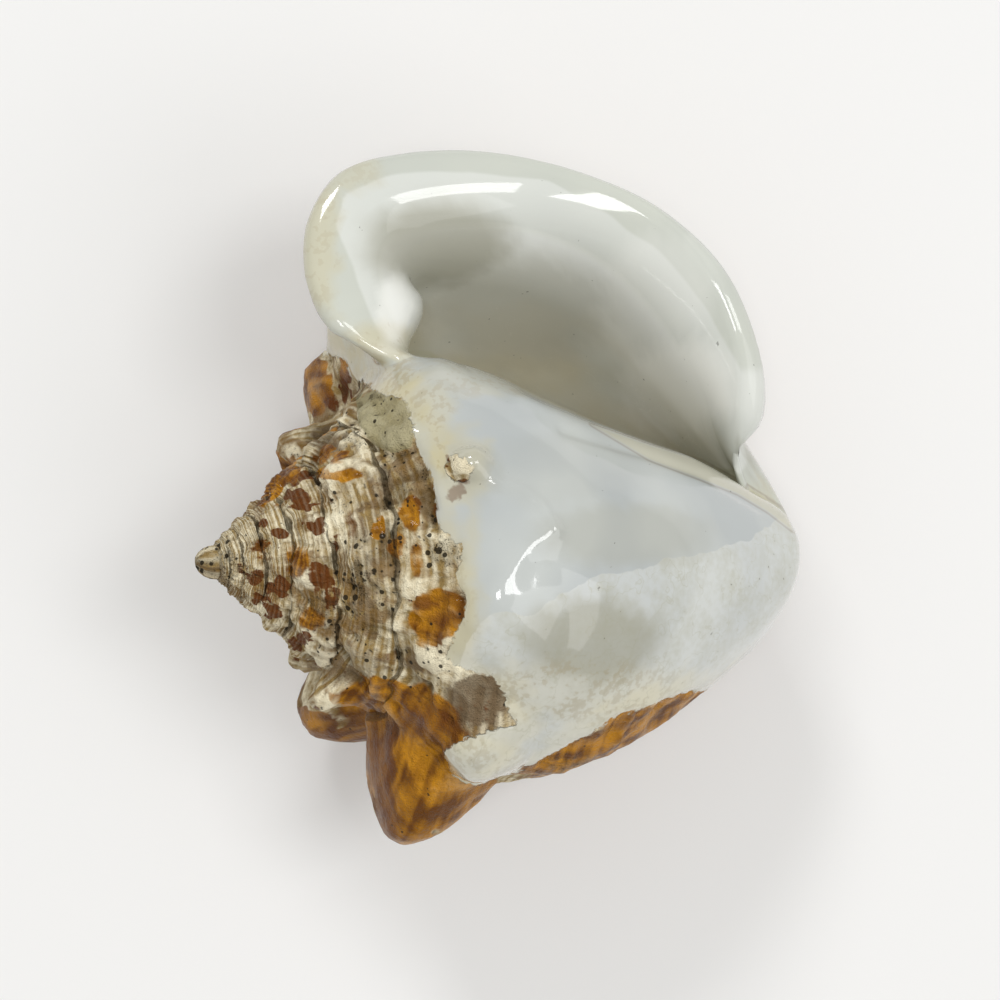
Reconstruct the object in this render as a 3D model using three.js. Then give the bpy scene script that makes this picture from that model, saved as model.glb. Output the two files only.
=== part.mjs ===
// Conch shell, one piece, lying on its back with the aperture up.
// Millimetres, +Z up. The origin is the middle of the footprint at floor height.
// +X runs from the apex to the front end, +Y to the side that the lip leans over.
//
// The surface is one whorl that winds around an axis. A point on it is given by
// its height along the axis from the apex, its radius from the axis and its turn.
// Turn 0 faces up, the coil goes right-handed seen from the apex, and the last
// whorl ends at the lip. Across a whorl, column 0 is the suture with the whorl
// before and column 1 is the front end of the axis.
import * as THREE from 'three';

// Size and pose
const AXIS_LENGTH = 168;
const AXIS_DIP = THREE.MathUtils.degToRad(12.33);
const AXIS_ROLL = THREE.MathUtils.degToRad(1.75);
const APEX_OVERHANG = 0.6;

// Coil
const GROWTH_PER_TURN = 0.36;
const FIRST_GUIDE_TURN = -1.25;
const FIRST_GUIDE_RADIUS = 26.9;
const APEX_TURN = -5.2;
const LIP_TURN = 0.8;
const BEND_TURN = 0.78;
const CAVITY_END_TURN = -0.05;
const CAVITY_BLEND_TURNS = 0.13;

// Wall
const WALL = 5;
const LIP_SHOULDER_EXTRA = 3;
const LIP_FRONT_EXTRA = 4;
const LIP_EDGE_THINNING = 0.45;
const CORNER_PAD = 15;
const INNER_END_DEPTH = 2;
const BURIED_WALL_SHARE = 0.055;
const RIM_BULGE = 0.9;
const SUTURE_EASE = 0.12;

// Mesh
const ROWS_PER_TURN = 48;
const VISIBLE_COLUMNS = 5;
const WALL_COLUMNS = 2;
const BODY_COLUMNS = 20;
const CAVITY_SMOOTHING = 2;

// Spire nodules
const NODULES_PER_TURN = 8;
const NODULE_HEIGHT = 0.055;
const NODULE_PULL = 0.05;
const NODULE_SHARPNESS = 1.4;
const SHOULDER_COLUMN = 0.14;
const NODULE_WIDTH = 0.07;

// Guide columns: suture, ramp, shoulder, side, seam, then the body to the front end
const COLUMNS = [0, 0.07, 0.14, 0.2, 0.26, 0.36, 0.47, 0.58, 0.69, 0.79, 0.88, 0.95, 1];

// Cross section of an early whorl, height and radius as shares of its shoulder radius
const EARLY_SECTION = [
  [1, 0.87], [1.07, 0.95], [1.16, 1.05], [1.29, 1.16], [1.433, 1.247], [1.75, 1.1], [2.15, 0.85],
  [2.6, 0.6], [3, 0.42], [3.3, 0.28], [3.6, 0.16], [3.8, 0.08], [4, 0],
];

// Guide sections of the last whorls: height and radius, and the turn where the lip warps
const SECTIONS = [
  [-0.5, [
    [35.2, 30.7], [38, 35], [41.5, 39.5], [46.5, 43], [51, 44], [60, 42], [73, 38],
    [90, 32], [110, 25], [130, 17], [147, 10], [160, 5], [168, 0]]],
  [-0.25, [
    [38.6, 33.5], [42.5, 40], [48, 46.5], [54, 49.5], [61, 50], [72, 47], [85, 41],
    [99, 34.5], [117, 28], [132, 22.5], [147, 15], [159, 8], [168, 0]]],
  [0, [
    [42.2, 36.7], [49.5, 42], [57.5, 48], [65, 52], [72, 53.5], [84, 53], [98, 49],
    [112, 43], [127, 35], [141, 27], [153, 19], [162, 11], [168, 0]]],
  [0.25, [
    [46.2, 40.2], [50, 48], [56, 55.5], [64, 59.5], [73, 61], [84, 61], [97, 59.5],
    [111, 55], [126, 47], [141, 36.5], [153, 26.5], [162, 14.5], [168, 0]]],
  [0.5, [
    [50.5, 44], [51.5, 54], [55, 63], [63, 66], [72, 67], [84, 66.5], [98, 64.5],
    [113, 61.5], [129, 55], [143, 43.5], [155, 28.5], [163, 14], [168, 0]]],
  [0.62, [
    [50, 46], [48, 57], [49, 67], [56, 71], [66, 73], [79, 74], [95, 73],
    [111, 69], [126, 60], [140, 47], [152, 31], [162, 15], [168, 0]]],
  [0.7, [
    [49.5, 46.5], [45.5, 59], [43, 70], [48, 77], [58, 79], [73, 79.5], [90, 77.5],
    [107, 72], [123, 61], [137, 47], [149, 32], [160, 16], [168, 0]]],
  [0.75, [
    [50, 47.5, 0.75], [46, 60, 0.748], [44, 70, 0.743], [47, 77, 0.74], [54, 81.5, 0.738],
    [69, 84.5, 0.735], [87, 83, 0.735], [105, 77, 0.735], [122, 66.5, 0.735],
    [135, 52.5, 0.738], [147, 36, 0.745], [156, 19, 0.76], [168, 0, 0.78]]],
  [BEND_TURN, [
    [45.5, 45, 0.795], [41, 52, 0.78], [38.5, 64, 0.765], [38, 78, 0.7595], [45.5, 88, 0.7555],
    [62.5, 93, 0.7555], [83.5, 93.5, 0.757], [102.5, 88.5, 0.766], [119.5, 78, 0.778],
    [134, 63, 0.793], [146, 42, 0.805], [145.5, 26, 0.81], [168, 0, 0.8]]],
  [LIP_TURN, [
    [43.5, 45.5, 0.8], [37.5, 53.5, 0.783], [32, 65.5, 0.762], [31, 81, 0.753],
    [38.5, 95.5, 0.7495], [58.5, 102, 0.7495], [83, 102.5, 0.7525], [105, 97.5, 0.765],
    [124.5, 87.5, 0.78], [140, 69.5, 0.80], [149, 40, 0.82], [144.5, 22, 0.83], [168, 0, 0.83]]],
];

// Knobs on the last whorl and the two low swellings of its back:
// turn, column, height, half width in turns, half width in columns, pull to the apex
const KNOBS = [
  [-1.4, 0.13, 1.5, 0.05, 0.1, 1.5],
  [-0.76, 0.11, 4, 0.05, 0.1, 1.8],
  [-0.62, 0.12, 4, 0.05, 0.1, 1.5],
  [-0.4, 0.13, 6, 0.055, 0.12, 1.8],
  [-0.19, 0.17, 3, 0.05, 0.12, 0.2],
  [-0.075, 0.18, 4.5, 0.016, 0.04, 0.2],
  [0.045, 0.2, 2, 0.06, 0.14, 0.2],
  [0.158, 0.19, 6, 0.05, 0.12, 0.1],
  [0.262, 0.13, 20, 0.07, 0.18, 0.2],
  [0.39, 0.12, 16, 0.055, 0.14, 1],
  [0.53, 0.13, 17, 0.055, 0.15, 0.5],
  [0.605, 0.12, 13, 0.045, 0.13, 0.4],
  [0.34, 0.56, 2.5, 0.05, 0.15, 0],
  [0.44, 0.57, 8.5, 0.06, 0.17, 0],
  [0.56, 0.57, 5, 0.06, 0.17, 0],
  [0.665, 0.56, 3, 0.05, 0.15, 0],
];

function smoothStep(from, to, x) {
  return THREE.MathUtils.smoothstep(x, from, to);
}

// Smooth curve through points, its slope at each taken from both neighbours.
function curveThrough(xs, ys) {
  const last = xs.length - 1;
  const widths = xs.slice(1).map((x, i) => x - xs[i]);
  const rises = widths.map((width, i) => (ys[i + 1] - ys[i]) / width);
  const slopes = xs.map((_, i) => {
    if (i === 0) return rises[0];
    if (i === last) return rises[last - 1];
    return (rises[i - 1] * widths[i] + rises[i] * widths[i - 1]) / (widths[i] + widths[i - 1]);
  });
  return (x) => {
    const at = THREE.MathUtils.clamp(x, xs[0], xs[last]);
    let k = 0;
    while (k < last - 1 && at >= xs[k + 1]) k += 1;
    const s = (at - xs[k]) / widths[k];
    const start = (1 + 2 * s) * (1 - s) ** 2 * ys[k] + s * (1 - s) ** 2 * widths[k] * slopes[k];
    const end = s * s * (3 - 2 * s) * ys[k + 1] + s * s * (s - 1) * widths[k] * slopes[k + 1];
    return start + end;
  };
}

// Guide curves along the coil, one per column, for height, radius and turn offset
function earlySection(turn) {
  const radius = FIRST_GUIDE_RADIUS * Math.exp(GROWTH_PER_TURN * (turn - FIRST_GUIDE_TURN));
  return [turn, EARLY_SECTION.map(([height, share]) => [height * radius, share * radius])];
}

const ALL_SECTIONS = [FIRST_GUIDE_TURN, -1, -0.75].map(earlySection).concat(SECTIONS);
const SECTION_TURNS = ALL_SECTIONS.map(([turn]) => turn);
const GUIDES = COLUMNS.map((_, column) => {
  const points = ALL_SECTIONS.map(([turn, section]) => {
    const [height, radius, warped = turn] = section[column];
    return [height, radius, warped - turn];
  });
  return [0, 1, 2].map((part) => curveThrough(SECTION_TURNS, points.map((point) => point[part])));
});
const SHOULDER_GUIDE = 2;

// Position of a point given by height, radius and turn, the apex being at zero
const ALONG = new THREE.Vector3(Math.cos(AXIS_DIP), 0, -Math.sin(AXIS_DIP));
const LEVEL_SIDE = new THREE.Vector3(0, -1, 0);
const UPPER_SIDE = new THREE.Vector3().crossVectors(LEVEL_SIDE, ALONG);
const NEAR = UPPER_SIDE.clone().applyAxisAngle(ALONG, AXIS_ROLL);
const SIDE = LEVEL_SIDE.clone().applyAxisAngle(ALONG, AXIS_ROLL);

function place([height, radius, turn]) {
  const angle = 2 * Math.PI * turn;
  return ALONG.clone().multiplyScalar(height)
    .addScaledVector(NEAR, radius * Math.cos(angle))
    .addScaledVector(SIDE, radius * Math.sin(angle));
}

// The whorl's outside at one turn, as a function of the column
function whorlAt(turn, knobbed) {
  const guideTurn = Math.max(turn, FIRST_GUIDE_TURN);
  const scale = Math.exp(GROWTH_PER_TURN * Math.min(turn - FIRST_GUIDE_TURN, 0));
  const [heightAt, radiusAt, offsetAt] = [0, 1, 2].map(
    (part) => curveThrough(COLUMNS, GUIDES.map((guide) => guide[part](guideTurn))),
  );
  const shoulder = scale * GUIDES[SHOULDER_GUIDE][1](guideTurn);
  const wave = (0.5 * Math.cos(2 * Math.PI * turn * NODULES_PER_TURN) + 0.5) ** NODULE_SHARPNESS;
  const nodule = (1 - smoothStep(-0.42, -0.3, turn)) * wave * shoulder;
  return (column) => {
    let height = heightAt(column) * scale;
    let radius = radiusAt(column) * scale;
    if (knobbed) {
      for (const [at, center, rise, halfTurn, halfColumn, pull] of KNOBS) {
        const away = ((turn - at) / halfTurn) ** 2 + ((column - center) / halfColumn) ** 2;
        const bump = rise * Math.max(1 - away, 0) ** NODULE_SHARPNESS;
        radius += bump;
        height -= bump * pull;
      }
      const band = Math.exp(-(((column - SHOULDER_COLUMN) / NODULE_WIDTH) ** 2));
      radius += NODULE_HEIGHT * nodule * band;
      height -= NODULE_PULL * nodule * band;
    }
    return [height, radius, turn + offsetAt(column)];
  };
}

// Column where the next whorl is attached
function seamColumn(turn) {
  return 0.26 - 0.1 * smoothStep(-0.55, -0.25, turn);
}

// Rows and columns of the mesh
const LAST_ROW = Math.round((LIP_TURN - APEX_TURN) * ROWS_PER_TURN);
const BODY_ROW = LAST_ROW - ROWS_PER_TURN;
const CAVITY_ROW = LAST_ROW - Math.round((LIP_TURN - CAVITY_END_TURN) * ROWS_PER_TURN);
const FLOOR_ROW = CAVITY_ROW - ROWS_PER_TURN;
const SEAM = VISIBLE_COLUMNS;
const WALL_END = VISIBLE_COLUMNS + WALL_COLUMNS;
const END = WALL_END + BODY_COLUMNS;

function turnOfRow(row) {
  return LIP_TURN - (LAST_ROW - row) / ROWS_PER_TURN;
}

function columnShare(turn, j) {
  const seam = seamColumn(turn);
  if (j <= SEAM) return seam * j / VISIBLE_COLUMNS;
  if (j <= WALL_END) return seam + BURIED_WALL_SHARE * (j - SEAM) / WALL_COLUMNS;
  const wallEnd = seam + BURIED_WALL_SHARE;
  return wallEnd + (1 - wallEnd) * (j - WALL_END) / BODY_COLUMNS;
}

function sutureEase(share) {
  return Math.max(1 - share / SUTURE_EASE, 0) ** 2;
}

const FRONT_END = place([AXIS_LENGTH, 0, 0]);
const INNER_END = FRONT_END.clone().addScaledVector(ALONG, -INNER_END_DEPTH);

// Outside of the coil as rows of points, each whorl starting on the seam of the one before
function outsideRows(knobbed) {
  const rows = [];
  for (let row = 0; row <= LAST_ROW; row += 1) {
    const turn = turnOfRow(row);
    const whorl = whorlAt(turn, knobbed);
    const points = [];
    for (let j = 0; j < END; j += 1) points.push(place(whorl(columnShare(turn, j))));
    points.push(FRONT_END.clone());
    rows.push(points);
  }
  return rows;
}

const outside = outsideRows(true);
const plain = outsideRows(false);
for (let row = ROWS_PER_TURN; row <= LAST_ROW; row += 1) {
  const turn = turnOfRow(row);
  const shift = outside[row - ROWS_PER_TURN][SEAM].clone().sub(outside[row][0]);
  for (let j = 0; j < END; j += 1) {
    const ease = sutureEase(columnShare(turn, j));
    outside[row][j].addScaledVector(shift, ease);
    plain[row][j].addScaledVector(shift, ease);
  }
}

// Outward normal of the unknobbed surface
function plainNormal(row, j) {
  const before = plain[Math.max(row - 1, 0)][j];
  const after = plain[Math.min(row + 1, LAST_ROW)][j];
  const left = plain[row][Math.max(j - 1, 0)];
  const right = plain[row][Math.min(j + 1, END)];
  const alongCoil = after.clone().sub(before);
  const across = right.clone().sub(left);
  return alongCoil.cross(across).normalize();
}

// The wall is thickest behind the lip, thin at its edge and at the front end
function wallThickness(turn, share) {
  const atLip = smoothStep(0.6, 0.8, turn);
  const shoulder = LIP_SHOULDER_EXTRA * (1 - smoothStep(0.35, 0.65, share));
  const front = LIP_FRONT_EXTRA * smoothStep(0.6, 0.85, share);
  const edge = 1 - LIP_EDGE_THINNING * smoothStep(0.76, 0.8, turn) * (1 - smoothStep(0.7, 0.85, share));
  return (WALL + atLip * (shoulder + front)) * edge * (1 - 0.85 * smoothStep(0.93, 1, share));
}

// How far the wall fills the corner between lip and suture, along the axis
function cornerPad(turn, share) {
  const deep = smoothStep(0.48, 0.68, turn) * (1 - smoothStep(0.72, 0.795, turn));
  const across = smoothStep(0, 0.06, share) * Math.exp(-(((share - 0.12) / 0.13) ** 2));
  return CORNER_PAD * deep * across;
}

// Ceiling of the cavity: the outside moved in by the wall, smoothed, and closed onto
// the floor, which is the outside of the whorl before
function ceilingRows() {
  let rows = [];
  for (let row = CAVITY_ROW; row <= LAST_ROW; row += 1) {
    const turn = turnOfRow(row);
    const points = [];
    for (let j = 0; j < END; j += 1) {
      const share = columnShare(turn, j);
      const inward = -wallThickness(turn, share);
      const point = plain[row][j].clone().addScaledVector(plainNormal(row, j), inward);
      points.push(point.addScaledVector(ALONG, cornerPad(turn, share)));
    }
    points.push(INNER_END.clone());
    const shift = outside[row - ROWS_PER_TURN][WALL_END].clone().sub(points[0]);
    points.forEach((point, j) => point.addScaledVector(shift, sutureEase(columnShare(turn, j))));
    rows.push(points);
  }
  for (let pass = 0; pass < CAVITY_SMOOTHING; pass += 1) rows = smoothed(rows);
  rows.forEach((points, i) => {
    const row = CAVITY_ROW + i;
    const turn = turnOfRow(row);
    const open = smoothStep(CAVITY_END_TURN, CAVITY_END_TURN + CAVITY_BLEND_TURNS, turn);
    const floorWhorl = whorlAt(turn - 1, true);
    const wallEnd = seamColumn(turn - 1) + BURIED_WALL_SHARE;
    points.forEach((point, j) => {
      const share = columnShare(turn, j);
      const floor = place(floorWhorl(wallEnd + (1 - wallEnd) * share));
      point.lerpVectors(floor, point.clone(), open);
    });
    points[0].copy(outside[row - ROWS_PER_TURN][WALL_END]);
  });
  return rows;
}

function smoothed(rows) {
  const last = rows.length - 1;
  return rows.map((points, i) => points.map((point, j) => {
    if (i === 0 || j === 0 || j === END) return point.clone();
    const sum = point.clone().multiplyScalar(2).add(points[j - 1]).add(points[j + 1]);
    if (i === last) return sum.divideScalar(4);
    return sum.add(rows[i - 1][j]).add(rows[i + 1][j]).divideScalar(6);
  }));
}

const ceiling = ceilingRows();

// Vertices and faces
const vertices = [];
const faces = [];

function addVertex(point) {
  vertices.push(point);
  return vertices.length - 1;
}

function addFace(a, b, c) {
  if (a === b || b === c || c === a) return;
  faces.push(a, b, c);
}

function addQuad(a, b, c, d) {
  addFace(a, c, b);
  addFace(a, d, c);
}

const frontEnd = addVertex(FRONT_END);
const innerEnd = addVertex(INNER_END);

const outsideIds = [];
for (let row = 0; row <= LAST_ROW; row += 1) {
  const isBody = row >= BODY_ROW;
  const isFloor = row >= FLOOR_ROW;
  const ids = [];
  for (let j = 0; j <= END; j += 1) {
    if (row >= ROWS_PER_TURN && j === 0) ids.push(outsideIds[row - ROWS_PER_TURN][SEAM]);
    else if (j > SEAM && !isBody && !(isFloor && j >= WALL_END)) ids.push(-1);
    else if (j === END) ids.push(frontEnd);
    else ids.push(addVertex(outside[row][j]));
  }
  outsideIds.push(ids);
}

const ceilingIds = ceiling.map((points, i) => points.map((point, j) => {
  if (j === 0) return outsideIds[FLOOR_ROW + i][WALL_END];
  if (j === END) return innerEnd;
  return addVertex(point);
}));

// Outside
for (let row = 0; row < LAST_ROW; row += 1) {
  const lastColumn = row >= BODY_ROW ? END : SEAM;
  const ids = outsideIds[row];
  const next = outsideIds[row + 1];
  for (let j = 0; j < lastColumn; j += 1) addQuad(ids[j], ids[j + 1], next[j + 1], next[j]);
}

// Floor of the cavity
for (let row = FLOOR_ROW; row < BODY_ROW; row += 1) {
  const ids = outsideIds[row];
  const next = outsideIds[row + 1];
  for (let j = WALL_END; j < END - 1; j += 1) addQuad(ids[j], ids[j + 1], next[j + 1], next[j]);
  addQuad(ids[END - 1], innerEnd, innerEnd, next[END - 1]);
}

// Ceiling of the cavity
for (let i = 0; i < ceilingIds.length - 1; i += 1) {
  const ids = ceilingIds[i];
  const next = ceilingIds[i + 1];
  for (let j = 0; j < END; j += 1) addQuad(ids[j], next[j], next[j + 1], ids[j + 1]);
}

// Rounded rim of the lip
const outerEdge = outside[LAST_ROW];
const innerEdge = ceiling[ceiling.length - 1];
const rimLines = [outsideIds[LAST_ROW].slice(0, END).concat(frontEnd)];
for (let k = 1; k < WALL_COLUMNS; k += 1) {
  const angle = Math.PI * k / WALL_COLUMNS;
  const line = [outsideIds[BODY_ROW][SEAM + k]];
  for (let j = 1; j < END; j += 1) {
    const outward = outerEdge[j].clone().sub(outside[LAST_ROW - 1][j]).normalize();
    const across = outerEdge[j].clone().sub(innerEdge[j]).multiplyScalar(0.5);
    const bulge = RIM_BULGE * across.length() * Math.sin(angle);
    const point = outerEdge[j].clone().add(innerEdge[j]).multiplyScalar(0.5)
      .addScaledVector(across, Math.cos(angle))
      .addScaledVector(outward, bulge);
    line.push(addVertex(point));
  }
  line.push(frontEnd);
  rimLines.push(line);
}
rimLines.push(ceilingIds[ceilingIds.length - 1]);
for (let k = 0; k < WALL_COLUMNS; k += 1) {
  const line = rimLines[k];
  const next = rimLines[k + 1];
  for (let j = 0; j < END; j += 1) addQuad(line[j], line[j + 1], next[j + 1], next[j]);
}
addFace(outsideIds[BODY_ROW][END - 1], frontEnd, innerEnd);

// Deep end of the cavity: floor and ceiling meet along a zip by arc length
function arcShares(ids) {
  const lengths = [0];
  for (let i = 1; i < ids.length; i += 1) {
    lengths.push(lengths[i - 1] + vertices[ids[i]].distanceTo(vertices[ids[i - 1]]));
  }
  return lengths.map((length) => length / lengths[ids.length - 1]);
}

function zip(floorIds, ceilIds) {
  const floorShares = arcShares(floorIds);
  const ceilShares = arcShares(ceilIds);
  let a = 0;
  let b = 0;
  while (a < floorIds.length - 1 || b < ceilIds.length - 1) {
    const floorLeft = a < floorIds.length - 1;
    const ceilLeft = b < ceilIds.length - 1;
    if (!ceilLeft || (floorLeft && floorShares[a + 1] <= ceilShares[b + 1])) {
      addFace(floorIds[a], floorIds[a + 1], ceilIds[b]);
      a += 1;
    } else {
      addFace(floorIds[a], ceilIds[b + 1], ceilIds[b]);
      b += 1;
    }
  }
}

zip(outsideIds[FLOOR_ROW].slice(WALL_END, END).concat(innerEnd), ceilingIds[0]);

// Apex: the first whorl's open start closes on the tip
const tip = addVertex(place([-APEX_OVERHANG, 0, 0]));
const start = [];
for (let row = 0; row < ROWS_PER_TURN; row += 1) start.push(outsideIds[row][0]);
for (let j = SEAM; j > 0; j -= 1) start.push(outsideIds[0][j]);
start.forEach((id, i) => addFace(id, tip, start[(i + 1) % start.length]));

// Mesh, set on the floor over the origin
const geometry = new THREE.BufferGeometry();
const positions = new Float32Array(vertices.length * 3);
vertices.forEach((point, i) => point.toArray(positions, i * 3));
geometry.setAttribute('position', new THREE.BufferAttribute(positions, 3));
geometry.setIndex(faces);
geometry.computeBoundingBox();
const box = geometry.boundingBox;
const middle = box.getCenter(new THREE.Vector3());
geometry.translate(-middle.x, -middle.y, -box.min.z);
geometry.computeVertexNormals();

const shellMaterial = new THREE.MeshStandardMaterial({ color: 0xd6cfba, roughness: 0.35, metalness: 0 });
shellMaterial.name = 'shell';

const shell = new THREE.Mesh(geometry, shellMaterial);
shell.name = 'conch_shell';

const root = new THREE.Group();
root.name = 'root';
root.add(shell);

export default root;
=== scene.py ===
# %% [markdown]
# # A conch shell
#
# The shell lies on its back and shows its aperture. It grew as one piece, so the
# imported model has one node, and one finely divided mesh takes that node's place.
# The lesson builds that mesh from the rule by which a shell grows, and then gives
# it the two skins of a real one: old, worn outer shell and young, glossy glaze.

# %% Frame
import math

import bpy
import numpy as np
from mathutils import Matrix, Vector


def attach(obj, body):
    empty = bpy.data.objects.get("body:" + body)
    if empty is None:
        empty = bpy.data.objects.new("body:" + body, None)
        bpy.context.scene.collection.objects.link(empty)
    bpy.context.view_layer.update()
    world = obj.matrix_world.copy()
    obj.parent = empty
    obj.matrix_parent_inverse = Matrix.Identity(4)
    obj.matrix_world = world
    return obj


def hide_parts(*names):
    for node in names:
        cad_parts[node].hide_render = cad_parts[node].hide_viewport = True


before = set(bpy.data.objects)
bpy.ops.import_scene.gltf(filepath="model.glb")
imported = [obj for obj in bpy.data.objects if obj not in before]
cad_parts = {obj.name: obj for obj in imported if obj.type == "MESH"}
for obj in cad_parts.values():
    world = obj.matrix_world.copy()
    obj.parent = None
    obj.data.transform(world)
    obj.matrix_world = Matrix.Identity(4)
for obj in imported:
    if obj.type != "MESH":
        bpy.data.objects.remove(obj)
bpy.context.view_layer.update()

MM = 0.001

# %% [markdown]
# ## Camera
#
# The photo looks almost straight down on the shell. The camera hangs 700 mm above
# its middle and leans 5.8 degrees, and the lens is chosen so that the shell fills
# the picture as it does in the photo: one pixel is 0.265 mm at that distance.

# %% Camera
PHOTO_SIDE = 1000
CAMERA_DISTANCE = 700.0
MM_PER_PIXEL = 0.265
SENSOR_MM = 36.0
LOOKS_AT = np.array([-1.834, -0.868, 70.084])
TOWARDS_CAMERA = np.array([-0.09875, -0.02132, 0.99488])
PHOTO_UP = np.array([0.03093, 0.99922, 0.02449])


def unit(vector):
    """The vector at length 1, or each vector of an array."""
    length = np.linalg.norm(vector, axis=-1, keepdims=True)
    return vector / np.maximum(length, 1e-12)


TOWARDS_CAMERA = unit(TOWARDS_CAMERA)
PHOTO_RIGHT = unit(np.cross(PHOTO_UP, TOWARDS_CAMERA))
PHOTO_UP = np.cross(TOWARDS_CAMERA, PHOTO_RIGHT)
CAMERA_PLACE = LOOKS_AT + CAMERA_DISTANCE * TOWARDS_CAMERA

camera_data = bpy.data.cameras.new("camera")
camera_data.sensor_width = SENSOR_MM
camera_data.lens = SENSOR_MM * CAMERA_DISTANCE / (PHOTO_SIDE * MM_PER_PIXEL)
camera_data.clip_end = 20.0
camera = bpy.data.objects.new("camera", camera_data)
axes = np.stack([PHOTO_RIGHT, PHOTO_UP, TOWARDS_CAMERA], axis=1)
camera.matrix_world = Matrix.LocRotScale(Vector(CAMERA_PLACE * MM), Matrix(axes.tolist()), None)
bpy.context.scene.collection.objects.link(camera)
bpy.context.scene.camera = camera
print("lens", round(camera_data.lens, 1), "mm")


def photo_pixel(points):
    """Where points, in mm, come in the photo, in its 1000 x 1000 pixels."""
    away = points - CAMERA_PLACE
    depth = -away @ TOWARDS_CAMERA
    scale = CAMERA_DISTANCE / MM_PER_PIXEL / depth
    x = PHOTO_SIDE / 2 + scale * (away @ PHOTO_RIGHT)
    y = PHOTO_SIDE / 2 - scale * (away @ PHOTO_UP)
    return np.stack([x, y], axis=-1)


# %% [markdown]
# ## The rule of growth
#
# A shell grows at its lip, which moves round an axis and gets wider at a steady
# rate. So any point is found from its turn round the axis and its place across
# the whorl, the column: 0 at the suture, 1 at the front end. Sculpting would give
# a shape as good from one side, but a rule carries knobs, growth lines and sutures
# right round the back. Guide sections hold the form where the last whorl leaves
# the steady spiral and flares into the lip.

# %% Guide sections
AXIS_LENGTH = 168.0
AXIS_DIP = math.radians(12.33)
AXIS_ROLL = math.radians(1.75)
APEX = np.array([-81.769, -14.444, 87.992])

GROWTH_PER_TURN = 0.36
FIRST_GUIDE_TURN = -1.25
FIRST_GUIDE_RADIUS = 26.9
LIP_TURN = 0.8
BEND_TURN = 0.78
SHOULDER_COLUMN = 0.14
SHOULDER_GUIDE = 2
COLUMNS = np.array([0, 0.07, 0.14, 0.2, 0.26, 0.36, 0.47, 0.58, 0.69, 0.79, 0.88, 0.95, 1])

EARLY_SECTION = [
    (1, 0.87), (1.07, 0.95), (1.16, 1.05), (1.29, 1.16), (1.433, 1.247), (1.75, 1.1), (2.15, 0.85),
    (2.6, 0.6), (3, 0.42), (3.3, 0.28), (3.6, 0.16), (3.8, 0.08), (4, 0),
]

SECTIONS = [
    (-0.5, [
        (35.2, 30.7), (38, 35), (41.5, 39.5), (46.5, 43), (51, 44), (60, 42), (73, 38),
        (90, 32), (110, 25), (130, 17), (147, 10), (160, 5), (168, 0)]),
    (-0.25, [
        (38.6, 33.5), (42.5, 40), (48, 46.5), (54, 49.5), (61, 50), (72, 47), (85, 41),
        (99, 34.5), (117, 28), (132, 22.5), (147, 15), (159, 8), (168, 0)]),
    (0, [
        (42.2, 36.7), (49.5, 42), (57.5, 48), (65, 52), (72, 53.5), (84, 53), (98, 49),
        (112, 43), (127, 35), (141, 27), (153, 19), (162, 11), (168, 0)]),
    (0.25, [
        (46.2, 40.2), (50, 48), (56, 55.5), (64, 59.5), (73, 61), (84, 61), (97, 59.5),
        (111, 55), (126, 47), (141, 36.5), (153, 26.5), (162, 14.5), (168, 0)]),
    (0.5, [
        (50.5, 44), (51.5, 54), (55, 63), (63, 66), (72, 67), (84, 66.5), (98, 64.5),
        (113, 61.5), (129, 55), (143, 43.5), (155, 28.5), (163, 14), (168, 0)]),
    (0.62, [
        (50, 46), (48, 57), (49, 67), (56, 71), (66, 73), (79, 74), (95, 73),
        (111, 69), (126, 60), (140, 47), (152, 31), (162, 15), (168, 0)]),
    (0.7, [
        (49.5, 46.5), (45.5, 59), (43, 70), (48, 77), (58, 79), (73, 79.5), (90, 77.5),
        (107, 72), (123, 61), (137, 47), (149, 32), (160, 16), (168, 0)]),
    (0.75, [
        (50, 47.5, 0.75), (46, 60, 0.748), (44, 70, 0.743), (47, 77, 0.74), (54, 81.5, 0.738),
        (69, 84.5, 0.735), (87, 83, 0.735), (105, 77, 0.735), (122, 66.5, 0.735),
        (135, 52.5, 0.738), (147, 36, 0.745), (156, 19, 0.76), (168, 0, 0.78)]),
    (BEND_TURN, [
        (45.5, 45, 0.795), (41, 52, 0.78), (38.5, 64, 0.765), (38, 78, 0.7595), (45.5, 88, 0.7555),
        (62.5, 93, 0.7555), (83.5, 93.5, 0.757), (102.5, 88.5, 0.766), (119.5, 78, 0.778),
        (134, 63, 0.793), (146, 42, 0.805), (145.5, 26, 0.81), (168, 0, 0.8)]),
    (LIP_TURN, [
        (43.5, 45.5, 0.8), (37.5, 53.5, 0.783), (32, 65.5, 0.762), (31, 81, 0.753),
        (38.5, 95.5, 0.7495), (58.5, 102, 0.7495), (83, 102.5, 0.7525), (105, 97.5, 0.765),
        (124.5, 87.5, 0.78), (140, 69.5, 0.80), (149, 40, 0.82), (144.5, 22, 0.83), (168, 0, 0.83)]),
]

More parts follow.
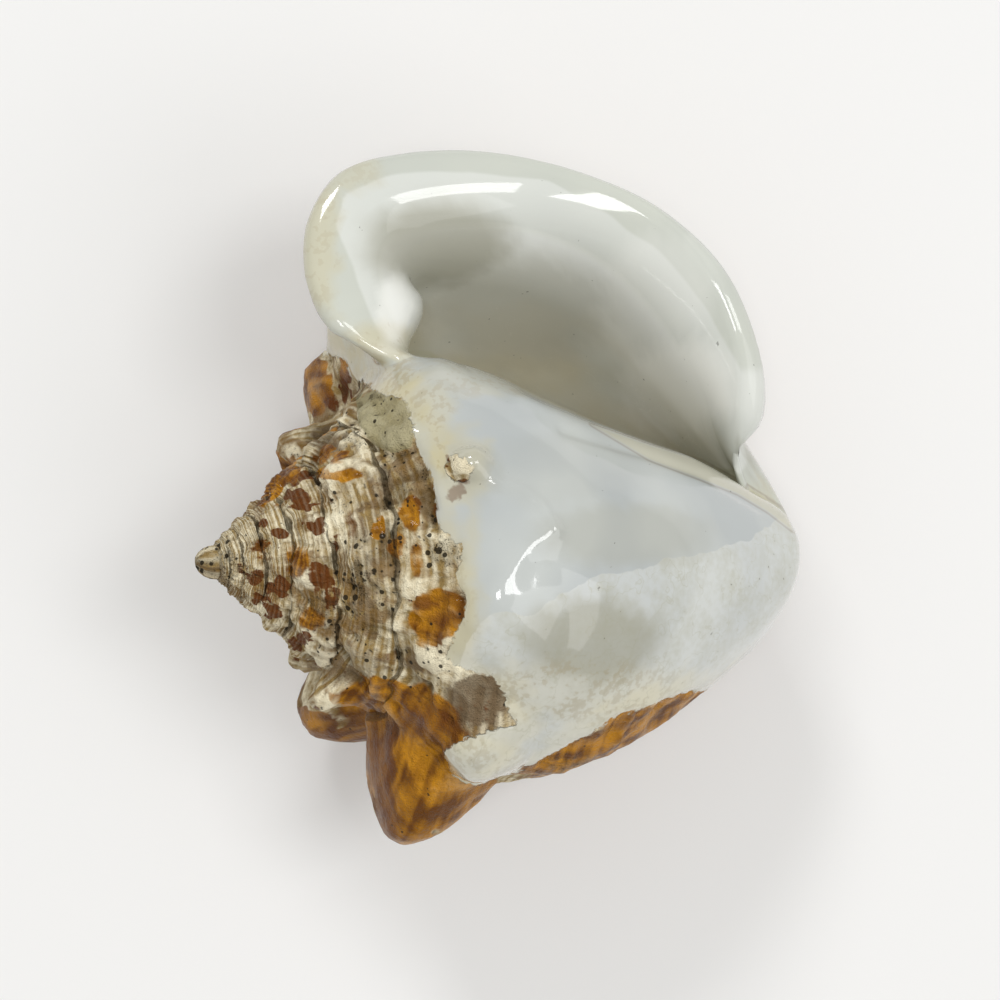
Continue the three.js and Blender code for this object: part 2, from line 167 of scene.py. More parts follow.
# Knobs and low swellings: turn, column, height, half width in turns and in columns, pull to the apex
KNOBS = [
    (-1.4, 0.13, 1.5, 0.05, 0.1, 1.5),
    (-0.76, 0.11, 4, 0.05, 0.1, 1.8),
    (-0.62, 0.12, 4, 0.05, 0.1, 1.5),
    (-0.4, 0.13, 6, 0.055, 0.12, 1.8),
    (-0.19, 0.17, 3, 0.05, 0.12, 0.2),
    (-0.075, 0.18, 4.5, 0.016, 0.04, 0.2),
    (0.045, 0.2, 2, 0.06, 0.14, 0.2),
    (0.158, 0.19, 6, 0.05, 0.12, 0.1),
    (0.262, 0.13, 20, 0.07, 0.18, 0.2),
    (0.39, 0.12, 16, 0.055, 0.14, 1),
    (0.53, 0.13, 17, 0.055, 0.15, 0.5),
    (0.605, 0.12, 13, 0.045, 0.13, 0.4),
    (0.34, 0.56, 2.5, 0.05, 0.15, 0),
    (0.44, 0.57, 8.5, 0.06, 0.17, 0),
    (0.56, 0.57, 5, 0.06, 0.17, 0),
    (0.665, 0.56, 3, 0.05, 0.15, 0),
]
NODULES_PER_TURN = 8
NODULE_HEIGHT = 0.055
NODULE_PULL = 0.05
NODULE_SHARPNESS = 1.4
NODULE_WIDTH = 0.07
print(len(SECTIONS) + 3, "guide sections,", len(KNOBS), "knobs and swellings")

# %% [markdown]
# A smooth curve through the guides gives the sections between them. It is worked
# out for a whole grid of points at once, because a loop over two hundred thousand
# points would take minutes.

# %% Curves through guides

def smooth_step(start, end, x):
    """0 before start and 1 after end, with a soft change between."""
    share = np.clip((x - start) / (end - start), 0, 1)
    return share * share * (3 - 2 * share)


def slopes_through(places, values):
    """The slope at each of a curve's points, taken from both neighbours. Axis 0 runs along it."""
    widths = np.diff(places).reshape((-1,) + (1,) * (values.ndim - 1))
    rises = np.diff(values, axis=0) / widths
    inner = (rises[:-1] * widths[1:] + rises[1:] * widths[:-1]) / (widths[1:] + widths[:-1])
    return np.concatenate([rises[:1], inner, rises[-1:]])


def curve_through(places, values, at):
    """Values at the places `at` on the smooth curve through the given points."""
    slopes = slopes_through(places, values)
    at = np.clip(at, places[0], places[-1])
    k = np.clip(np.searchsorted(places, at, side="right") - 1, 0, len(places) - 2)
    shape = at.shape + (1,) * (values.ndim - 1)
    width = np.diff(places)[k].reshape(shape)
    s = ((at - places[k]).reshape(shape)) / width
    start = (1 + 2 * s) * (1 - s) ** 2 * values[k] + s * (1 - s) ** 2 * width * slopes[k]
    end = s * s * (3 - 2 * s) * values[k + 1] + s * s * (s - 1) * width * slopes[k + 1]
    return start + end


def early_section(turn):
    """The steady spiral's section at one turn."""
    radius = FIRST_GUIDE_RADIUS * math.exp(GROWTH_PER_TURN * (turn - FIRST_GUIDE_TURN))
    return turn, [(height * radius, share * radius) for height, share in EARLY_SECTION]


all_sections = [early_section(turn) for turn in (FIRST_GUIDE_TURN, -1.0, -0.75)] + SECTIONS
SECTION_TURNS = np.array([turn for turn, _ in all_sections])
GUIDES = np.array([
    [(point[0], point[1], point[2] - turn if len(point) > 2 else 0.0) for point in section]
    for turn, section in all_sections
])
print("guides", GUIDES.shape)

# %% Whorl
ALONG = np.array([math.cos(AXIS_DIP), 0, -math.sin(AXIS_DIP)])
LEVEL_SIDE = np.array([0, -1.0, 0])
UPPER_SIDE = np.cross(LEVEL_SIDE, ALONG)
NEAR = math.cos(AXIS_ROLL) * UPPER_SIDE + math.sin(AXIS_ROLL) * LEVEL_SIDE
SIDE = math.cos(AXIS_ROLL) * LEVEL_SIDE - math.sin(AXIS_ROLL) * UPPER_SIDE


def place(height, radius, turn):
    """Points in mm from their height along the axis, radius from it and turn round it."""
    angle = 2 * math.pi * np.asarray(turn)
    across = np.multiply.outer(np.cos(angle), NEAR) + np.multiply.outer(np.sin(angle), SIDE)
    return APEX + np.multiply.outer(height, ALONG) + across * np.asarray(radius)[..., None]


def whorl(turns, columns, knobbed=True):
    """The outside of the shell at each row's turn and each point's column: points in mm."""
    guide_turns = np.maximum(turns, FIRST_GUIDE_TURN)
    guides = curve_through(SECTION_TURNS, GUIDES, guide_turns)
    scale = np.exp(GROWTH_PER_TURN * np.minimum(turns - FIRST_GUIDE_TURN, 0))
    points = np.empty(columns.shape + (3,))
    for row, turn in enumerate(turns):
        section = curve_through(COLUMNS, guides[row], columns[row])
        height = section[:, 0] * scale[row]
        radius = section[:, 1] * scale[row]
        if knobbed:
            shoulder = guides[row, SHOULDER_GUIDE, 1] * scale[row]
            rise, pull = sculpture(turn, columns[row], shoulder)
            radius = radius + rise
            height = height - pull
        points[row] = place(height, radius, turn + section[:, 2])
    return points


def sculpture(turn, column, shoulder):
    """How far knobs and nodules stand out from the axis, and lean to the apex."""
    rise = np.zeros_like(column)
    pull = np.zeros_like(column)
    for at, center, height, half_turn, half_column, lean in KNOBS:
        away = ((turn - at) / half_turn) ** 2 + ((column - center) / half_column) ** 2
        bump = height * np.clip(1 - away, 0, 1) ** NODULE_SHARPNESS
        rise += bump
        pull += bump * lean
    wave = (0.5 * math.cos(2 * math.pi * turn * NODULES_PER_TURN) + 0.5) ** NODULE_SHARPNESS
    strength = (1 - smooth_step(-0.42, -0.30, turn)) * wave * shoulder
    band = np.exp(-(((column - SHOULDER_COLUMN) / NODULE_WIDTH) ** 2))
    return rise + NODULE_HEIGHT * strength * band, pull + NODULE_PULL * strength * band


def seam_column(turn):
    """The column where the next whorl is attached."""
    return 0.26 - 0.1 * smooth_step(-0.55, -0.25, turn)


print("seam at columns", seam_column(-1.0), "and", round(float(seam_column(0.0)), 2))

# %% [markdown]
# A worn shell is irregular all over. Value noise gives that: random numbers at the
# corners of a lattice, smoothly blended, and the same numbers at every run.

# %% Noise
HASH_STEPS = (374761393, 668265263, 2147483647, 1274126177)


def noise(at, size, seed=0):
    """Smooth noise from -1 to 1 with lumps of about the given size."""
    at = at / size + 31.7 * seed
    cell = np.floor(at).astype(np.int64)
    part = at - cell
    part = part * part * (3 - 2 * part)
    total = np.zeros(at.shape[:-1])
    for corner in np.ndindex(*(2,) * at.shape[-1]):
        code = np.zeros(at.shape[:-1], np.int64) + seed * 9176
        weight = np.ones(at.shape[:-1])
        for axis, up in enumerate(corner):
            code = code + (cell[..., axis] + up) * HASH_STEPS[axis]
            weight = weight * (part[..., axis] if up else 1 - part[..., axis])
        code = (code ^ (code >> 13)) * HASH_STEPS[3] & 0x7FFFFFFF
        code = code ^ (code >> 16)
        total += weight * ((code & 0xFFFF) / 32767.5 - 1)
    return total


def rough_noise(at, size, seed=0, layers=3):
    """Noise with finer noise on top."""
    return sum(noise(at, size / 2 ** k, seed + k) / 2 ** k for k in range(layers))


print("noise", noise(np.array([[0.0, 0, 0], [3, 1, 2]]), 5.0).round(3))

# %% [markdown]
# ## The grid
#
# The outside is a long ribbon of rows and columns. Each whorl's first column is
# the seam column of the whorl before, so the coil is one closed skin without any
# boolean. The last turn's ribbon goes on to the front end, and under it lies the
# hollow, whose floor is the whorl before and whose ceiling is the wall's inside.

# %% Rows and columns
APEX_TURN = -6.7
ROWS_PER_TURN = 240
VISIBLE_COLUMNS = 20
WALL_COLUMNS = 4
BODY_COLUMNS = 84
BURIED_WALL_SHARE = 0.055
SUTURE_EASE = 0.12
CAVITY_END_TURN = -0.05
CAVITY_BLEND_TURNS = 0.13
INNER_END_DEPTH = 2.0
APEX_OVERHANG = 0.6
FRONT_DIMPLE = 2.5
BODY_START_SHARE = 0.66
# Height in columns, width in turns, seed
SUTURE_JAGS = ((0.02, 0.05, 71), (0.012, 0.018, 73))
JAGS_BEGIN = (-6, -3)
JAGS_END = (-0.4, -0.28)

LAST_ROW = round((LIP_TURN - APEX_TURN) * ROWS_PER_TURN)
BODY_ROW = LAST_ROW - ROWS_PER_TURN
CAVITY_ROW = LAST_ROW - round((LIP_TURN - CAVITY_END_TURN) * ROWS_PER_TURN)
FLOOR_ROW = CAVITY_ROW - ROWS_PER_TURN
SEAM = VISIBLE_COLUMNS
WALL_END = VISIBLE_COLUMNS + WALL_COLUMNS
END = WALL_END + BODY_COLUMNS

row_turns = LIP_TURN - np.arange(LAST_ROW, -1, -1) / ROWS_PER_TURN
jags = sum(height * noise(row_turns[:, None], width, seed) for height, width, seed in SUTURE_JAGS)
jags = jags * smooth_step(*JAGS_BEGIN, row_turns) * (1 - smooth_step(*JAGS_END, row_turns))
seam = (seam_column(row_turns) + jags)[:, None]
wall_end = seam + BURIED_WALL_SHARE
body = np.arange(1, BODY_COLUMNS + 1) / BODY_COLUMNS
body = BODY_START_SHARE * body + (1 - BODY_START_SHARE) * body ** 2
shares = np.concatenate([
    seam * np.linspace(0, 1, VISIBLE_COLUMNS + 1),
    seam + BURIED_WALL_SHARE * np.arange(1, WALL_COLUMNS + 1) / WALL_COLUMNS,
    wall_end + (1 - wall_end) * body,
], axis=1)
print(shares.shape, "rows and columns")

# %% Outside
front_end = place(AXIS_LENGTH - FRONT_DIMPLE, 0.0, 0.0)
inner_end = front_end - INNER_END_DEPTH * ALONG


def join_whorls(*surfaces):
    """Moves each whorl's first columns onto the seam of the whorl before, the same in each surface."""
    ease = np.clip(1 - shares / SUTURE_EASE, 0, 1) ** 2
    for row in range(ROWS_PER_TURN, LAST_ROW + 1):
        shift = surfaces[0][row - ROWS_PER_TURN, SEAM] - surfaces[0][row, 0]
        for surface in surfaces:
            surface[row] += shift * ease[row][:, None]


def grid_normals(points):
    """Outward normals of a grid of points."""
    return unit(np.cross(np.gradient(points, axis=0), np.gradient(points, axis=1)))


outside = whorl(row_turns, shares)
plain = whorl(row_turns, shares, knobbed=False)
outside[:, END] = front_end
plain[:, END] = front_end
join_whorls(outside, plain)
# The earlier whorls stay behind the end of the hollow
past_end = np.maximum((outside - inner_end) @ ALONG, 0) * (row_turns[:, None] < LIP_TURN - 1)
outside -= past_end[..., None] * ALONG
print("outside", np.ptp(outside[BODY_ROW:].reshape(-1, 3), axis=0).round(1), "mm")

# %% [markdown]
# ## Two skins and their edge
#
# The animal lays glossy glaze over the old, dull shell, and the glaze ends in a
# thin, jagged step. In the photo that edge can be followed point by point, so it
# is a line drawn in the photo's pixels. Each point of the mesh learns how
# far it is from that line, in mm, and both the relief and the finish read it.

# %% Glaze line
GLAZE_LINE = np.array([
    (345, 358), (352, 376), (364, 384), (385, 393), (408, 400), (417, 430), (416, 447), (433, 478),
    (435, 514), (445, 533), (462, 545), (463, 563), (455, 576), (466, 596), (465, 616), (455, 635),
    (447, 655), (466, 667), (490, 672), (503, 690), (506, 708), (520, 725), (497, 728), (455, 742),
    (443, 752), (455, 772), (475, 783), (500, 776), (530, 762), (555, 752), (580, 736), (612, 716),
    (640, 706), (680, 691), (715, 690), (760, 672), (1000, 640), (1000, 0), (150, 0), (150, 330),
], dtype=float)
GLAZE_HOLES = [(460, 470, 13), (552, 768, 9), (430, 585, 6)]
GLAZE_BEHIND_MM = 40.0
GLAZE_TURNS_UNDER = 0.3
RIM_GLAZE_MM = 7.0
WING_TURN = 0.62
BARE_MM = -1.5


def segment_distance(at, start, end):
    """Distance of points from a straight piece of line, in the plane."""
    along = end - start
    share = np.clip(((at - start) @ along) / (along @ along), 0, 1)
    return np.linalg.norm(at - start - share[..., None] * along, axis=-1)


def outline_distance(at, outline):
    """Distance from a closed outline: above 0 inside and below 0 outside."""
    nearest = np.full(at.shape[:-1], np.inf)
    inside = np.zeros(at.shape[:-1], bool)
    for start, end in zip(outline, np.roll(outline, -1, axis=0)):
        nearest = np.minimum(nearest, segment_distance(at, start, end))
        crosses = (start[1] > at[..., 1]) != (end[1] > at[..., 1])
        rise = end[1] - start[1] if end[1] != start[1] else 1.0
        x = start[0] + (at[..., 1] - start[1]) / rise * (end[0] - start[0])
        inside ^= crosses & (at[..., 0] < x)
    return np.where(inside, nearest, -nearest)


normals = grid_normals(outside)
pixels = photo_pixel(outside)
facing = normals @ TOWARDS_CAMERA
glaze = outline_distance(pixels, GLAZE_LINE) * MM_PER_PIXEL
glaze = np.minimum(glaze, (facing + GLAZE_TURNS_UNDER) * GLAZE_BEHIND_MM)
to_rim = np.linalg.norm(outside - outside[LAST_ROW], axis=-1)
on_wing = row_turns[:, None] > WING_TURN
before_body = row_turns[:, None] < LIP_TURN - 1
glaze = np.where(on_wing, np.maximum(glaze, RIM_GLAZE_MM - to_rim), glaze)
glaze = np.where(before_body & (shares < wall_end), np.minimum(glaze, BARE_MM), glaze)
for x, y, radius in GLAZE_HOLES:
    away = np.linalg.norm(pixels - (x, y), axis=-1) - radius
    glaze = np.where(facing > 0, np.minimum(glaze, away * MM_PER_PIXEL), glaze)
is_floor = (shares > wall_end + 0.001) & before_body
glaze = np.where(is_floor, GLAZE_BEHIND_MM, glaze)
print("glazed share of the outside", round(float((glaze > 0).mean()), 2))

# %% [markdown]
# ## Relief
#
# Worn shell isn't smooth. Spiral cords and growth ridges follow the whorls,
# erosion eats shallow hollows, and the sutures are cracked. All of these are
# heights in mm along the surface's normal, so they add up and are real geometry.

# %% Marks seen in the photo
# x, y, radius in pixels, height in mm
STAMPS = [
    (461, 466, 9, 2.2), (452, 474, 5, 1.2), (470, 461, 5, 1.4), (458, 492, 11, -0.8),
    (428, 404, 24, 0.8), (440, 430, 14, -0.6), (385, 365, 20, 0.9), (520, 560, 26, -0.8),
    (505, 606, 20, 0.8), (474, 765, 18, 1.6), (500, 742, 16, -0.5), (430, 760, 22, -0.8),
    (398, 710, 14, 1.0), (420, 690, 12, -0.8), (375, 690, 9, 1.2), (326, 700, 14, 1.6),
    (318, 384, 14, 1.2), (347, 392, 10, -1.6), (330, 360, 9, -1.2), (300, 452, 12, 1.0),
    (270, 470, 9, 0.8), (345, 470, 14, 0.9), (320, 440, 12, -1.0), (292, 520, 8, -0.9),
]
# Height in mm, width in pixels, and the line's points
GROOVES = [
    (1.1, 13.0, [(476, 620), (500, 582), (525, 550), (550, 532)]),
    (0.8, 4.5, [(480, 473), (500, 484), (522, 491), (540, 505), (556, 532)]),
    (0.6, 7.0, [(520, 402), (580, 427), (650, 447), (700, 465), (750, 492), (785, 517)]),
    (-0.5, 4.0, [(560, 434), (640, 458), (700, 480), (760, 512)]),
    (-1.8, 3.5, [(371, 396), (379, 400), (383, 412)]),
    (-1.0, 3.0, [(356, 398), (357, 425), (372, 446), (392, 455), (412, 449)]),
    (-1.0, 3.0, [(282, 492), (284, 463), (302, 467), (311, 459), (319, 447), (333, 432)]),
    (-0.8, 3.0, [(400, 655), (425, 668), (445, 690)]),
    (0.7, 6.0, [(372, 690), (395, 700), (418, 716), (436, 742)]),
]
FLAP = np.array([
    (356, 396), (372, 388), (392, 394), (412, 404), (416, 428),
    (412, 448), (392, 454), (372, 444), (358, 424),
], dtype=float)
FLAP_MM = 1.3


def marks_height():
    """Lumps, dents and lines at their places in the photo, on what faces the camera."""
    height = np.zeros(glaze.shape)
    for x, y, radius, rise in STAMPS:
        away = np.linalg.norm(pixels - (x, y), axis=-1) / radius
        height += rise * np.exp(-away ** 2)
    for rise, width, line in GROOVES:
        nearest = np.full(glaze.shape, np.inf)
        for start, end in zip(line, line[1:]):
            nearest = np.minimum(nearest, segment_distance(pixels, np.array(start), np.array(end)))
        height += rise * np.exp(-(nearest / width) ** 2)
    height += FLAP_MM * smooth_step(-2, 5, outline_distance(pixels, FLAP))
    return height * smooth_step(0.05, 0.25, facing)


print(len(STAMPS), "lumps and dents,", len(GROOVES), "lines")

# %% Heights
CORDS_PER_PROFILE = 19.0
CORDS_MM = 0.34
RIDGES_MM = 0.45
FOLDS_MM = 1.35
EATEN_MM = 2.0
LUMPS_MM = 1.25
WAVES_MM = 0.45
RIPPLES_MM = 0.16
FRAYED_MM = 1.4
CALM_SHARE = 0.55
CALM_TURNS = (0.1, 0.25)
GLAZE_STEP_MM = 0.9
SUTURE_CRACK_MM = 0.6
UNDERSIDE_MM = (1.0, 9.0)

turn_grid = np.broadcast_to(row_turns[:, None], shares.shape)
growth = np.exp(0.5 * GROWTH_PER_TURN * np.minimum(turn_grid, 0))
whorl_size = np.exp(GROWTH_PER_TURN * np.minimum(turn_grid, 0))
seam_distance = np.minimum(
    np.linalg.norm(outside - outside[:, :1], axis=-1),
    np.linalg.norm(outside - outside[:, SEAM:SEAM + 1], axis=-1) + 50.0 * (turn_grid > LIP_TURN - 1),
) / np.maximum(whorl_size, 0.2)
coil = np.stack([turn_grid, shares], axis=-1)
edge_noise = rough_noise(outside, 5.0, seed=3)
worn = 1 - smooth_step(-0.5, 0.6, glaze + 1.2 * edge_noise)


def relief_height():
    """All the relief, in mm along the normal."""
    cords = np.cos(2 * math.pi * shares * CORDS_PER_PROFILE + 2.5 * noise(coil, 0.08, seed=5))
    cords = cords * (0.6 + 0.8 * noise(outside, 9.0, seed=25))
    ridges = RIDGES_MM * rough_noise(coil * (1, 0.15), 0.012, seed=7)
    folds = FOLDS_MM * rough_noise(coil * (1, 0.22), 0.035, seed=9)
    eaten = np.clip(rough_noise(outside, 4.5, seed=11) - 0.3, 0, 1)
    lumps = rough_noise(outside, 8.0, seed=13)
    calm = 1 - CALM_SHARE * smooth_step(*CALM_TURNS, turn_grid)
    rough = calm * growth * (CORDS_MM * cords + ridges + folds - EATEN_MM * eaten + LUMPS_MM * lumps)
    smooth = WAVES_MM * noise(outside, 22.0, seed=17) + RIPPLES_MM * noise(outside, 9.0, seed=19)
    crack = np.exp(-((seam_distance / 1.4) ** 2)) * (0.9 + 0.9 * noise(outside, 6.0, seed=21))
    frayed = np.exp(-((seam_distance / 4.5) ** 2)) * noise(outside, 3.2, seed=23)
    height = worn * rough + (1 - worn) * (smooth + GLAZE_STEP_MM)
    height += worn * growth * (FRAYED_MM * frayed - SUTURE_CRACK_MM * crack)
    return height + marks_height()


hidden = is_floor | (before_body & (shares > seam + 0.001))
fade = np.where(hidden, 0.0, 1.0) * (1 - smooth_step(0.93, 1, shares))
fade = fade * (1 - smooth_step(LIP_TURN - 0.02, LIP_TURN, turn_grid) * 0.6)
fade = fade * smooth_step(APEX_TURN - 0.5, APEX_TURN + 2, turn_grid)
fade = fade * (0.15 + 0.85 * smooth_step(*UNDERSIDE_MM, outside[..., 2]))
height = relief_height() * fade
outside = outside + normals * height[..., None]
outside[..., 2] = np.maximum(outside[..., 2], 0)
outside[:, END] = front_end
print("relief from", height.min().round(2), "to", height.max().round(2), "mm")

# %% Inside of the last whorl
WALL = 5.0
LIP_SHOULDER_EXTRA = 3.0
LIP_FRONT_EXTRA = 4.0
LIP_EDGE_THINNING = 0.45
CORNER_PAD = 15.0
CAVITY_SMOOTHING = 27


def wall_thickness(turns, columns):
    """The wall is thickest behind the lip, thin at its edge and at the front end."""
    at_lip = smooth_step(0.6, 0.8, turns)
    shoulder = LIP_SHOULDER_EXTRA * (1 - smooth_step(0.35, 0.65, columns))
    front = LIP_FRONT_EXTRA * smooth_step(0.6, 0.85, columns)
    edge = 1 - LIP_EDGE_THINNING * smooth_step(0.76, 0.8, turns) * (1 - smooth_step(0.7, 0.85, columns))
    return (WALL + at_lip * (shoulder + front)) * edge * (1 - 0.85 * smooth_step(0.93, 1, columns))


def corner_pad(turns, columns):
    """How far the glaze fills the corner between lip and suture, along the axis."""
    deep = smooth_step(0.48, 0.68, turns) * (1 - smooth_step(0.72, 0.795, turns))
    across = smooth_step(0, 0.06, columns) * np.exp(-(((columns - 0.12) / 0.13) ** 2))
    return CORNER_PAD * deep * across


def smoothed(grid):
    """Each point between its neighbours. The first row and the outer columns stay."""
    out = grid.copy()
    beside = grid[1:, :-2] + grid[1:, 2:]
    out[1:-1, 1:-1] = (beside[:-1] + grid[:-2, 1:-1] + grid[2:, 1:-1] + 2 * grid[1:-1, 1:-1]) / 6
    out[-1, 1:-1] = (beside[-1] + 2 * grid[-1, 1:-1]) / 4
    return out


def ceiling_grid():
    """The hollow's ceiling: the outside moved in by the wall, closing onto the floor at its end."""
    turns = row_turns[CAVITY_ROW:]
    columns = shares[CAVITY_ROW:]
    edge = outside[FLOOR_ROW:LAST_ROW + 1 - ROWS_PER_TURN, WALL_END]
    thickness = wall_thickness(turns[:, None], columns)
    grid = plain[CAVITY_ROW:] - grid_normals(plain)[CAVITY_ROW:] * thickness[..., None]
    grid += corner_pad(turns[:, None], columns)[..., None] * ALONG
    grid[:, END] = inner_end
    ease = np.clip(1 - columns / SUTURE_EASE, 0, 1) ** 2
    grid += (edge - grid[:, 0])[:, None] * ease[..., None]
    for _ in range(CAVITY_SMOOTHING):
        grid = smoothed(grid)
    floor_start = wall_end[FLOOR_ROW:LAST_ROW + 1 - ROWS_PER_TURN]
    floor = whorl(turns - 1, floor_start + (1 - floor_start) * columns)
    opened = smooth_step(CAVITY_END_TURN, CAVITY_END_TURN + CAVITY_BLEND_TURNS, turns)
    grid = floor + (grid - floor) * opened[:, None, None]
    grid[:, 0] = edge
    return grid


ceiling = ceiling_grid()
print("ceiling", ceiling.shape)

# %% [markdown]
# ## Where the colours are
#
# The worn shell has amber and red-brown patches, a grey-mauve ground and dirt in
# its sutures, and the glaze has layers of different tone, with patches of painted
# shade and painted light on it. What the photo shows stands at its place in it:
# patches are ellipses with soft edges, and layers are outlines. The sides that it
# doesn't show get patches of the same kind from noise, in bands along the whorls,
# as such shells have, but no painted shade or light.

# %% Patches
# x, y, half width, half height in pixels, strength
PATCHES = {
    "amber": [
        (408, 818, 36, 34, 0.9), (340, 700, 12, 10, 0.5), (440, 615, 36, 25, 0.9),
        (405, 745, 62, 66, 1.2), (378, 700, 42, 26, 0.9), (450, 790, 50, 50, 0.8), (378, 530, 9, 12, 0.8),
        (336, 474, 26, 10, 0.7), (302, 724, 34, 16, 1.2), (330, 742, 30, 12, 1.2),
        (316, 386, 17, 30, 1.1), (266, 476, 18, 32, 1.2), (345, 360, 8, 22, 0.8), (340, 455, 14, 8, 0.6),
        (410, 515, 12, 22, 0.6), (620, 758, 140, 30, 0.8), (660, 715, 70, 44, 0.8),
        (398, 548, 8, 14, 0.5), (325, 455, 10, 12, 0.6), (290, 470, 14, 14, 0.7), (430, 640, 16, 10, 0.5),
        (418, 560, 10, 26, 0.5), (310, 620, 16, 12, 0.5), (298, 560, 14, 20, 0.5),
        (262, 550, 12, 16, 0.4), (352, 520, 8, 22, 0.3), (440, 500, 8, 24, 0.4),
    ],
    "brown": [
        (384, 792, 11, 50, 0.9), (372, 758, 9, 26, 0.8), (298, 496, 15, 9, 1.0), (316, 526, 12, 9, 0.9),
        (322, 580, 14, 14, 1.0), (280, 534, 9, 9, 1.0), (280, 588, 12, 13, 1.0), (275, 612, 11, 9, 1.0),
        (255, 577, 10, 8, 0.8), (318, 566, 11, 7, 0.9), (345, 386, 6, 20, 1.0), (303, 507, 16, 5, 0.8),
        (458, 494, 10, 11, 0.9), (300, 640, 14, 8, 0.8), (330, 600, 10, 12, 0.6), (446, 620, 14, 7, 0.5),
        (388, 838, 10, 34, 0.8), (428, 720, 30, 20, 0.5), (203, 561, 8, 10, 0.3), (264, 520, 7, 6, 0.8),
        (306, 476, 10, 6, 0.8), (375, 740, 24, 8, 0.7), (425, 602, 22, 5, 0.6), (330, 400, 6, 12, 0.5),
        (243, 570, 8, 8, 0.5), (473, 464, 4, 9, 1.0), (448, 462, 3, 7, 0.9), (262, 600, 8, 6, 0.8),
        (290, 480, 12, 5, 0.7), (262, 545, 7, 8, 0.7), (462, 480, 9, 3, 0.9), (325, 735, 30, 6, 0.7),
        (300, 712, 10, 10, 0.4), (336, 545, 6, 10, 0.6), (295, 655, 8, 5, 0.6),
    ],
    "mauve": [
        (486, 698, 34, 30, 1.0), (430, 660, 34, 16, 0.8), (365, 560, 22, 90, 0.5),
        (330, 440, 22, 18, 0.8), (410, 480, 24, 40, 0.3), (355, 660, 30, 30, 0.5),
        (418, 842, 26, 16, 0.9), (380, 480, 20, 20, 0.6), (345, 480, 12, 16, 0.4),
        (325, 660, 20, 14, 0.6), (480, 700, 40, 34, 1.0),
    ],
    "grime": [
        (358, 580, 14, 26, 0.7), (322, 612, 22, 24, 0.6), (446, 552, 16, 14, 1.0),
        (340, 505, 10, 12, 0.5), (378, 600, 8, 20, 0.4), (232, 566, 22, 18, 0.5), (266, 545, 10, 12, 0.5),
        (386, 510, 10, 14, 0.6), (400, 452, 20, 8, 0.5), (440, 520, 10, 20, 0.5), (300, 458, 12, 8, 0.7),
        (410, 690, 10, 8, 0.5), (212, 561, 14, 20, 0.4), (575, 764, 60, 12, 0.5), (352, 440, 12, 12, 0.6),
        (430, 470, 8, 20, 0.6), (378, 398, 8, 7, 1.2), (600, 770, 60, 8, 0.6),
    ],
    "bored": [
        (372, 560, 34, 90, 0.8), (430, 530, 26, 50, 0.7), (400, 450, 50, 40, 0.5),
        (385, 420, 30, 26, 0.5), (410, 660, 60, 24, 0.5), (330, 640, 30, 26, 0.6),
        (355, 590, 22, 34, 1.0), (446, 552, 16, 14, 1.0), (350, 500, 24, 24, 0.6),
        (214, 561, 26, 26, 1.0),
    ],
    "cream": [
        (318, 250, 22, 95, 0.9), (345, 172, 42, 20, 0.6), (330, 340, 18, 30, 0.9),
        (385, 378, 44, 18, 1.0), (384, 345, 44, 24, 1.0), (430, 405, 26, 26, 0.7),
        (452, 610, 26, 60, 0.5), (470, 760, 60, 26, 0.6), (440, 440, 12, 40, 0.8),
        (500, 375, 110, 22, 0.5), (580, 690, 110, 34, 0.7), (770, 490, 26, 16, 0.6),
    ],
    # Painted shade: grey patches where shade falls on the glaze, high in the hollow and on the lower body
    "shady": [
        (625, 535, 95, 34, 0.4), (590, 640, 76, 46, 0.9), (560, 470, 90, 40, 0.15),
        (440, 245, 80, 50, 0.9), (520, 310, 100, 60, 0.5), (480, 470, 30, 30, 0.3),
        (752, 440, 14, 32, 0.8),
    ],
    # Painted light: bright patches where light falls on the glaze, on the right of the hollow and on the
    # pad
    "pale": [
        (680, 388, 62, 50, 0.9), (395, 310, 18, 36, 0.6), (660, 290, 60, 60, 0.3),
    ],
}
# Outlines in pixels: the lip's inner layer, the band on the fold beside the hollow, the lowest layer
OUTLINES = {
    "lip_layer": np.array([
        (335, 225), (345, 196), (400, 176), (470, 172), (545, 182), (600, 207), (650, 246), (692, 291),
        (725, 337), (746, 380), (756, 412), (745, 470), (700, 470), (600, 430), (430, 352), (384, 352),
        (372, 330), (352, 265),
    ], dtype=float),
    "fold_layer": np.array([
        (590, 424), (650, 445), (700, 460), (750, 487), (788, 512), (794, 532), (768, 512), (738, 494),
        (700, 479), (650, 460),
    ], dtype=float),
    "low_layer": np.array([
        (462, 640), (490, 612), (520, 618), (590, 577), (640, 566), (700, 556), (760, 532), (810, 500),
        (830, 560), (800, 640), (700, 720), (520, 800), (430, 760), (450, 700),
    ], dtype=float),
    "flap": FLAP,
}

TRAITS = (
    "glaze", "turn", "column", "suture", "hollow", "relief", "patchy", "broad",
    "amber", "brown", "mauve", "grime", "bored", "cream", "shady", "pale",
    "lip_layer", "fold_layer", "low_layer", "flap",
)
FAR_FROM_SUTURE = 30.0
IN_HOLLOW = [
    {"glaze": GLAZE_BEHIND_MM, "column": 0.5, "suture": FAR_FROM_SUTURE, "hollow": 1.0}.get(name, 0.0)
    for name in TRAITS
]


def patches(places, at, wobble):
    """How strongly points, as photo pixels, lie in the given patches, 0 to 1."""
    total = np.zeros(at.shape[:-1])
    for x, y, half_x, half_y, strength in places:
        away = np.linalg.norm((at + wobble - (x, y)) / (half_x, half_y), axis=-1)
        total = np.maximum(total, strength * (1 - smooth_step(0.6, 1.2, away)))
    return np.clip(total, 0, 1)


def bands(turns, columns, size, seed, threshold):
    """Patches by chance, longer along the whorl than across it."""
    field = rough_noise(np.stack([turns, columns * 0.55], axis=-1), size, seed=seed)
    return smooth_step(threshold, threshold + 0.25, field)


